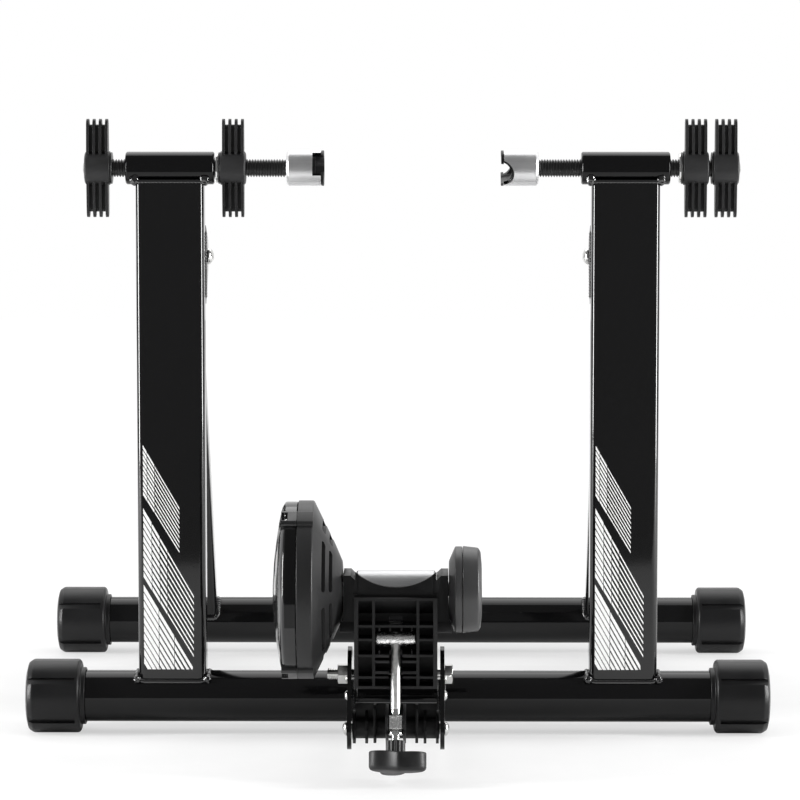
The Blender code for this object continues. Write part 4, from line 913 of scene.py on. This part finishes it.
# %% Tilt bolt, lock nut and rocker pin
def hexagon(name, across, low, high, at, crown):
    """A hexagon along X with turned corners at its high end (crown 1) or at its low end (crown -1)."""
    radius, inner = across / 2 / math.cos(math.pi / 6), across / 2 * 0.94
    work = bmesh.new()
    bmesh.ops.create_cone(work, cap_ends=True, segments=6, radius1=radius, radius2=radius, depth=high - low)
    bmesh.ops.translate(work, vec=(0, 0, (high + low) / 2), verts=work.verts)
    made = from_bmesh(name, work, at, ALONG_X)
    drop = (radius - inner) * 0.55
    plain, crowned = (low, high) if crown > 0 else (high, low)
    outline = [(plain - crown, 0), (plain - crown, radius * 1.1), (plain, radius * 1.02),
               (crowned - crown * drop, radius * 1.02), (crowned, inner), (crowned, 0)]
    return combine(made, [turned("corners", outline[::crown], at, ease=0, sides=96)], "INTERSECT")


at = (0, TILT_Y, TILT_Z)
head = hexagon("bolt_head", 13, 34.3, 39.9, at, 1)
join(head, bar("bolt_shank", 4, -40, 35, at, sides=40))
head.name = "pivot_bolt_hex"
tail = threaded("pivot_bolt_thread", 4, 0.6, 1.25, -48.5, -39, at, sides=24, taper=0.9)
dress(relief(head, 0.2, 40), "front_frame", ZINC, "zinc_steel", "unit_pivot_bolt")
dress(tail, "front_frame", ZINC, "zinc_steel")
nut = hexagon("pivot_lock_nut", 13, -41.3, -34.3, at, -1)
cut(nut, bar("nut_hole", 4.1, -50, -30, at, sides=40))
dress(relief(nut, 0.2, 40), "front_frame", ZINC, "zinc_steel", "unit_pivot_nut")
head_end = [(37.3, 0), (37.3, 2.2), (35.9, 4.6), (34.3, 5.3), (34.3, 4)]
pin = turned("domed_rocker_pin", [(-x, r) for x, r in head_end] + head_end[::-1], (0, ROCKER_Y, ROCKER_Z), ease=0.8)
dress(pin, "front_frame", ZINC, "zinc_steel", "rocker_pin")
print("pivot hardware placed")

# %% Rocker and trunnion
SCREW_TOP = Vector((0, FRONT_Y - 168, 98))   # where the cross bar sits
TRUNNION_DOWN, GRIP_DOWN = 59.5, 86.75       # distances down the screw


def along_screw(distance):
    """A point on the tension screw's axis, measured down from its top."""
    return SCREW_TOP - Vector((0, math.sin(SCREW_LEAN), math.cos(SCREW_LEAN))) * distance


keep("rocker", DARK_NYLON, 0.35)
# the block's side view has a groove under the top edge and a long chamfer below
side_view = [(5, -5.4), (5, 5.4), (-4.5, 5.4), (-5, 4.9), (-5, 4.2), (-3.9, 4.2), (-3.9, 3.3), (-5, 3.3),
             (-5, -3.9), (-3.3, -5.4)]
leaning = (Matrix.Rotation(-SCREW_LEAN, 3, "X") @ SIDE_ON.to_matrix()).to_euler()
trunnion = flat("machined_trunnion", [side_view], 9.2, along_screw(TRUNNION_DOWN), leaning)
cut(trunnion, bar("hole", 3.2, -20, 20, along_screw(TRUNNION_DOWN), SCREW_TURN))
dress(relief(trunnion, 0.3, 40), "rocker_arm", ROUGH_ZINC, "zinc_steel", "trunnion_block")
print("rocker kept, trunnion placed")

# %% Tension screw
top, screw_body = along_screw(0), "tension_knob_and_screw"
screw = threaded("tension_screw_thread", 3.5, 0.5, 1.0, -4.6, 50, top, SCREW_TURN, sides=24, taper=0.8)
dress(screw, screw_body, ROLLED_ZINC, "zinc_steel", "tension_screw")
plain = turned("tension_screw_shank", [
    (49.6, 0), (49.6, 3.3), (53.8, 3.2), (53.8, 3), (65.2, 3), (65.2, 5), (67.2, 5), (67.2, 3), (89.5, 3),
    (89.5, 0)], top, SCREW_TURN)
dress(plain, screw_body, ZINC, "zinc_steel")
print("tension screw placed")

# %% Three-lobed knob and its fluted neck
# the grip's section shrinks near its two ends, so that both faces are crowned
KNOB_LAYERS = ((-6.75, 1.3), (-6.6, 0.6), (-6.2, 0.15), (-5.7, 0.0), (3.6, 0.0), (4.8, 0.25), (5.7, 0.9),
               (6.3, 2.0), (6.62, 3.8), (6.75, 6.5))
LOBES, LOBE_TURN, FLUTES = 3, math.radians(18), 16


def wavy(mean, wave, waves, count, turned_by=0.0):
    """An outline whose radius swells and shrinks: a list of x, y pairs."""
    angles = [2 * math.pi * i / count for i in range(count)]
    return [on_circle(mean + wave * math.cos(waves * (angle - turned_by)), angle) for angle in angles]


work = bmesh.new()
skin_over(work, [[work.verts.new((*spot, along)) for spot in wavy(16.8 - inset, 5.4, LOBES, 144, LOBE_TURN)]
                 for along, inset in KNOB_LAYERS])
grip = soften(from_bmesh("three_lobed_knob", work, along_screw(GRIP_DOWN), SCREW_TURN), 50)
neck = flat("fluted_knob_neck", [wavy(6.55, 0.25, FLUTES, 96)], 9, along_screw(76), SCREW_TURN)
for made in (grip, neck):
    cut(made, bar("hole", 3.2, 60, 89.8, top, SCREW_TURN))
dress(relief(grip, 0.3, 50), screw_body, KNOB_NYLON, "black_plastic", "tension_knob")
dress(relief(neck, 0.2, 50), screw_body, KNOB_NYLON, "black_plastic")
print("knob placed")

# %% Cross bar
cross = bar("cast_cross_bar", 5.2, -13.8, 13.8, top, ease=0.8, sides=64)
cut(cross, bar("hole", 3.8, -20, 20, top, SCREW_TURN))
dress(relief(cross, 0.2, 50), "cross_bar", ROUGH_ZINC, "zinc_steel", "screw_cross_bar")
print("cross bar placed")

# %% [markdown]
# ## Brake unit
# The yoke is the most worked moulding of the stand, a ribbed panel with a saddle for the tyre
# and an arm on each side of the roller. The brake drum on the left is two shells: a vented
# cone and a glossy domed cover, held by three screws. The small housing on the right is a
# second pair of shells, round the balance wheel.

# %% Yoke and bearings
UNIT_AT = (0, ROLLER_Y, ROLLER_Z)


def fitting(made, skin, slot, *nodes):
    """A piece that rides on the resistance unit."""
    return dress(made, "resistance_unit", skin, slot, *nodes)


def rib(name, low, high, width=0.25):
    """A moulded block in the yoke's window. Its Y is measured from the front base tube."""
    low, high = ((x, FRONT_Y + y, z) for x, y, z in (low, high))
    fitting(relief(block(name, low, high), width, 40), DARK_NYLON, "black_plastic")


keep("yoke", DARK_NYLON, 0.35, 30)
rib("window_back_wall", (-14.7, -157.7, 87.4), (14.7, -156.6, 108.9), 0.2)
for side, low, high in (("left", -14.6, -4.9), ("right", 4.9, 14.6)):
    rib(f"{side}_lower_window_rib", (low, -177.8, 71.7), (high, -161, 73.3))
for i, x in enumerate((-11.5, -3.9, 4.0, 11.2)):
    for level, low, high in (("lower", 88.3, 91.4), ("upper", 104.7, 108.0)):
        rib(f"window_{level}_rib_{i + 1}", (x - 0.5, -176.5, low), (x + 0.5, -165, high))
for side, sign in SIDES:
    low, high = sorted((sign * 30, sign * 35))
    rings = [(low, 9.5), (high, 9.5), (high, 8.2), (high - 0.3, 8.0), (high - 0.3, 6.6), (high, 6.4), (high, 5.3),
             (low, 5.3), (low, 6.4), (low + 0.3, 6.6), (low + 0.3, 8.0), (low, 8.2)]
    bearing = turned(f"{side}_shielded_bearing", rings, UNIT_AT, ease=0.2)
    fitting(bearing, DULL_STEEL, "zinc_steel", f"{side}_roller_bearing")
print("yoke kept, bearings placed")

# %% [markdown]
# The drum's two shells meet at a seam, and three lugs carry the screws that hold them. The
# walls of the vents lie deep in shade, so that shade is painted on them: they get a near-black material.

# %% Drum shells
SEAM = -68.2
SCREW_FACE = SEAM - 6.4
LUG_R = 58.2
LUGS = (("top", 60), ("rear", 180), ("bottom", 300))
VENTS = ((46.8, 4.8), (37.0, 4.6))           # the middle radius and the width of each ring of slots


def lug_centre(angle):
    forward, up = on_circle(LUG_R, math.radians(angle))
    return (0, ROLLER_Y - forward, ROLLER_Z + up)


def across_unit(name, outline, low, high):
    """A flat shape on the roller's axis between two places along X."""
    return flat(name, [outline], high - low, ((low + high) / 2, ROLLER_Y, ROLLER_Z))


def lug(angle, low, high, size=(12.6, 15.2), out=0.0):
    c, s = on_circle(1, math.radians(-angle))
    loop = [(x - LUG_R - out, y) for x, y in rounded(*size, 2.5, 15)]
    return across_unit("lug", [(x * c - y * s, x * s + y * c) for x, y in loop], low, high)


def arc_slot(radius, width, start, end, low, high):
    """A curved slot with round ends."""
    half = width / 2
    points = arc((0, 0), radius + half, start, end, 10)
    points += arc(on_circle(radius, math.radians(end)), half, end, end + 180, 8)[1:-1]
    points += arc((0, 0), radius - half, end, start, 10)
    points += arc(on_circle(radius, math.radians(start)), half, start + 180, start + 360, 8)[1:-1]
    return across_unit("vent", points, low, high)


edge, rim = SEAM + 0.15, 62.3
profile = [(edge, rim), (-57.4, rim), (-42.2, 31.2), (-37.2, 19.5), (-37.2, 9), (-39.8, 9), (-39.8, 18.2),
           (-44.5, 29.8), (-59.1, rim - 2.4), (edge, rim - 2.4)]
housing = turned("moulded_drum_housing", profile, UNIT_AT, ease=1.0, sides=128)
join(housing, *[lug(angle, edge, SEAM + 11.15) for name, angle in LUGS])
cuts = [arc_slot(*vent, i * 60 + 9.9, i * 60 + 51.1, -62, -36) for vent in VENTS for i in range(6)]
cuts += [bar("boss", 1.7, SEAM - 2, SEAM + 7, lug_centre(angle)) for name, angle in LUGS]
cut(housing, *cuts)
fitting(relief(housing, 0.4, 40), SATIN_NYLON, "black_plastic", "drum_housing")
# the walls of the vents run along the roller's axis, which is the mesh's own Z; they get the near-black material as
# painted shade
housing.data.materials.append(PAINTED_SHADE_BLACK)
for face in housing.data.polygons:
    reach = math.hypot(face.center.x, face.center.y)
    if abs(face.normal.z) < 0.08 and 33 * MM < reach < 51 * MM:
        face.material_index = 1
print("vent wall faces:", sum(face.material_index for face in housing.data.polygons))

edge, rim = SEAM - 0.15, 61.5
profile = [(-86.2, 0), (-86, 14), (-84.8, 27), (-83.2, 39), (-81.2, 51), (-79.4, 58), (-77.2, rim), (edge, rim),
           (edge, rim - 2.4), (-76.6, rim - 2.4), (-79, 50), (-80.9, 38), (-82.4, 26), (-83.6, 13), (-83.8, 0)]
cover = turned("domed_drum_cover", profile, UNIT_AT, ease=1.3, sides=128)
join(cover, *[lug(angle, SCREW_FACE - 4.6, edge) for name, angle in LUGS])
cuts = [lug(angle, SCREW_FACE - 20, SCREW_FACE, (16, 8.8), 3.6) for name, angle in LUGS]
cuts += [bar("hole", 2, SEAM - 20, SEAM + 2, lug_centre(angle)) for name, angle in LUGS]
cut(cover, *cuts)
fitting(relief(cover, 0.4, 40), GLOSS_SHELL, "black_plastic", "drum_cover")
print("drum shells placed")

# %% Plain glossy band on the drum's rim
work = bmesh.new()
section = ((-76.2, 61.35), (-68.7, 61.35), (-68.7, 61.62), (-76.2, 61.62))
spins = [math.radians(-17 + i) for i in range(69)]
skin_over(work, [[work.verts.new((x, ROLLER_Y - r * math.cos(spin), ROLLER_Z + r * math.sin(spin)))
                  for x, r in section] for spin in spins])
fitting(soften(from_bmesh("drum_rim_band", work), 30), POWDER, "black_plastic")
print("rim band placed")

# %% Drum screws and magnets
for name, angle in LUGS:
    face, centre = SCREW_FACE - 0.3, lug_centre(angle)
    screw = turned(f"{name}_pan_head_screw", [
        (face - 2.6, 0), (face - 2.6, 2.4), (face - 1.2, 3.5), (face, 3.6), (face, 1.4),
        (SEAM + 6, 1.4), (SEAM + 6, 0)], centre, ease=0.7, sides=40)
    cut(screw, *[block("recess", (face - 3, -a, -b), (face - 1.2, a, b), centre)
                 for a, b in ((2.1, 0.45), (0.45, 2.1))])
    fitting(soften(screw), ZINC, "zinc_steel", f"drum_screw_{name}")
plate = washer("pressed_magnet_plate", 47, 9, -79, -77.2, UNIT_AT)
fitting(plate, DULL_STEEL, "dark_steel", "magnet_plate")
magnet = washer("sintered_ring_magnet", 45, 29, -76.9, -72, UNIT_AT)
fitting(magnet, FERRITE, "ferrite", "ring_magnet")
print("drum screws and magnets placed")

# %% Rotor
roller = turned("ground_roller", [(-27.6, 12.5), (-26.6, 13.5), (26.6, 13.5), (27.6, 12.5), (27.6, 5.3), (-27.6, 5.3)],
                UNIT_AT, ease=0.4, sides=96)
dress(roller, "rotor", GROUND_STEEL, "roller_steel", "roller")
shaft = bar("ground_shaft", 5, -75, 55, UNIT_AT, ease=0.5)
dress(shaft, "rotor", GROUND_STEEL, "roller_steel", "roller_shaft")
# the brake disc is painted near-black as painted shade, so the vents show black behind it
disc = turned("spun_brake_disc", [(-69.5, 50), (-66, 50), (-66, 14), (-56, 14), (-56, 5.3), (-69.5, 5.3)],
              UNIT_AT, sides=96)
dress(disc, "rotor", PAINTED_SHADE_BLACK, "aluminium", "brake_disc")
wheel = washer("cast_balance_wheel", 26, 5.3, 44.5, 53.5, UNIT_AT, ease=0.6, sides=96)
dress(wheel, "rotor", CAST_IRON, "cast_weight", "balance_wheel")
print("rotor placed")

# %% Small housing
low, high = 46.5 - 0.15, 46.5 + 0.15         # its seam
inner = [(37, 8), (37, 20), (40, 27), (41.4, 30.2), (low, 30.2), (low, 28.2), (42.7, 28.2), (41.1, 24.5),
         (39.2, 19), (39.2, 8)]
outer = [(58, 0), (58, 17), (56.4, 27.3), (high, 28.2), (high, 30.5), (57.4, 29.3), (59.2, 26.4), (60, 18), (60, 0)]
for name, profile in (("small_housing", inner), ("small_cover", outer)):
    fitting(turned("moulded_" + name, profile, UNIT_AT, ease=0.8, sides=96), GREY_NYLON, "black_plastic", name)
print("small housing placed")

# %% [markdown]
# ## Studio
# A white paper floor, one large soft light above and behind, and a tall narrow one on each side,
# which the black coat shows as bright lines. The room in front is dim, so that the black faces
# stay black. The air is white to the camera, and behind the stand in mirrored views too.

# %% Floor
OWN_LIGHT = 0.58
# where the painted shade on the paper lies round the stand, and its size
PAINTED_SHADE_AT = (0, 0.10, 0)
PAINTED_SHADE_SIZE = (0.40, 0.20, 1.0)


def make_paper():
    skin = bpy.data.materials.new("white paper")
    skin.use_nodes = True
    tree = skin.node_tree
    spot = node(tree, "TexCoord")["Object"]
    fibres = spread(tree, noise_node(tree, spot, 30.0), 0.0, 1.0)
    colour = blend_colours(tree, fibres, (0.90, 0.90, 0.90, 1), (0.93, 0.93, 0.93, 1))
    # painted shade: the paper is painted a little greyer where it lies between the tubes
    in_painted_shade = vector_maths(tree, "DIVIDE", vector_maths(tree, "SUBTRACT", spot, PAINTED_SHADE_AT), PAINTED_SHADE_SIZE)
    span, away = (node(tree, "VectorMath", {0: vector}, operation="LENGTH")["Value"] for vector in (in_painted_shade, spot))
    painted_shade_factor = spread(tree, span, 0.80, 1.0, 0.55, 1.25)
    colour = blend_colours(tree, painted_shade_factor, (0, 0, 0, 1), colour)
    # to the camera a share of the paper's white is its own and the rest is lit, so it keeps the shadows;
    # far out all of it is its own, so no edge shows against the air
    own = arithmetic(tree, "MULTIPLY", node(tree, "LightPath")["Is Camera Ray"],
                     spread(tree, away, OWN_LIGHT, 1.0, 0.55, 1.5))
    feed(tree, tree.nodes["Principled BSDF"].inputs, {
        "Roughness": 0.9, "Specular IOR Level": 0.1, "Base Color": blend_colours(tree, own, colour, (0, 0, 0, 1)),
        "Emission Strength": arithmetic(tree, "MULTIPLY", own, painted_shade_factor), "Emission Color": (1, 1, 1, 1)})
    return skin


work = bmesh.new()
work.faces.new([work.verts.new((x, y, 0)) for x, y in ((-4000, -950), (4000, -950), (4000, 3600), (-4000, 3600))])
paper = from_bmesh("paper_floor", work)
paper.data.materials.append(make_paper())
print("studio floor ready")

# %% [markdown]
# Two strips stand at the sides and are what the tubes mirror. The air's strength depends on the
# ray: full for the camera and for mirrored views to the rear, and low for the light on the stand.

# %% Lights
def panel(name, at, target, size, power):
    light = bpy.data.lights.new(name, "AREA")
    light.shape = "RECTANGLE"
    light.size, light.size_y = size
    light.energy = power
    made = bpy.data.objects.new(name, light)
    made.location = at
    made.rotation_euler = (Vector(target) - Vector(at)).to_track_quat("-Z", "Y").to_euler()
    bpy.context.scene.collection.objects.link(made)


STRIP_AWAY, STRIP_Y, STRIP_Z, STRIP_SIZE, STRIP_POWER = 1.75, -0.42, 0.58, (0.26, 1.14), 44
panel("top_softbox", (0.0, 1.55, 2.3), (0, 1.2, 0.0), (4.4, 2.4), 50)
for side, sign in SIDES:
    panel(f"{side}_strip", (sign * STRIP_AWAY, STRIP_Y, STRIP_Z), (0, 0, STRIP_Z), STRIP_SIZE, STRIP_POWER)
world = bpy.data.worlds.new("studio air")
world.use_nodes = True
air = world.node_tree
path = node(air, "LightPath")
depth = node(air, "SeparateXYZ", {0: node(air, "TexCoord")["Generated"]})["Y"]
behind = spread(air, depth, 0.0, 1.0, 0.15, 0.35)
mirrored = arithmetic(air, "MAXIMUM", path["Is Glossy Ray"], path["Is Transmission Ray"])
shown = arithmetic(air, "MAXIMUM", path["Is Camera Ray"], arithmetic(air, "MULTIPLY", mirrored, behind))
soft = spread(air, path["Is Diffuse Ray"], 0.22, 0.42, 0.0, 1.0)
feed(air, air.nodes["Background"].inputs, {
    "Strength": arithmetic(air, "MAXIMUM", shown, soft), "Color": (1, 1, 1, 1)})
bpy.context.scene.world = world
bpy.context.scene.view_settings.view_transform = "Standard"

# %% [markdown]
# ## Camera
# The photograph was taken from nearly 2.9 m with a long lens, a little above the axle and
# looking down by 6 degrees.

# %% Camera
CAMERA_AT = (0.023, -2.8595, 0.5385)
PITCH, YAW = math.radians(5.97), -0.0077
lens = bpy.data.cameras.new("camera")
lens.sensor_width = 36
lens.lens = 170.46
lens.clip_end = 50
camera = bpy.data.objects.new("camera", lens)
ahead = Vector((math.sin(YAW) * math.cos(PITCH), math.cos(YAW) * math.cos(PITCH), -math.sin(PITCH)))
right = Vector((math.cos(YAW), -math.sin(YAW), 0))
axes = Matrix((right, right.cross(ahead), -ahead)).transposed()
camera.matrix_world = Matrix.Translation(CAMERA_AT) @ axes.to_4x4()
bpy.context.scene.collection.objects.link(camera)
bpy.context.scene.camera = camera
print("camera distance", round(-camera.location.y, 3))
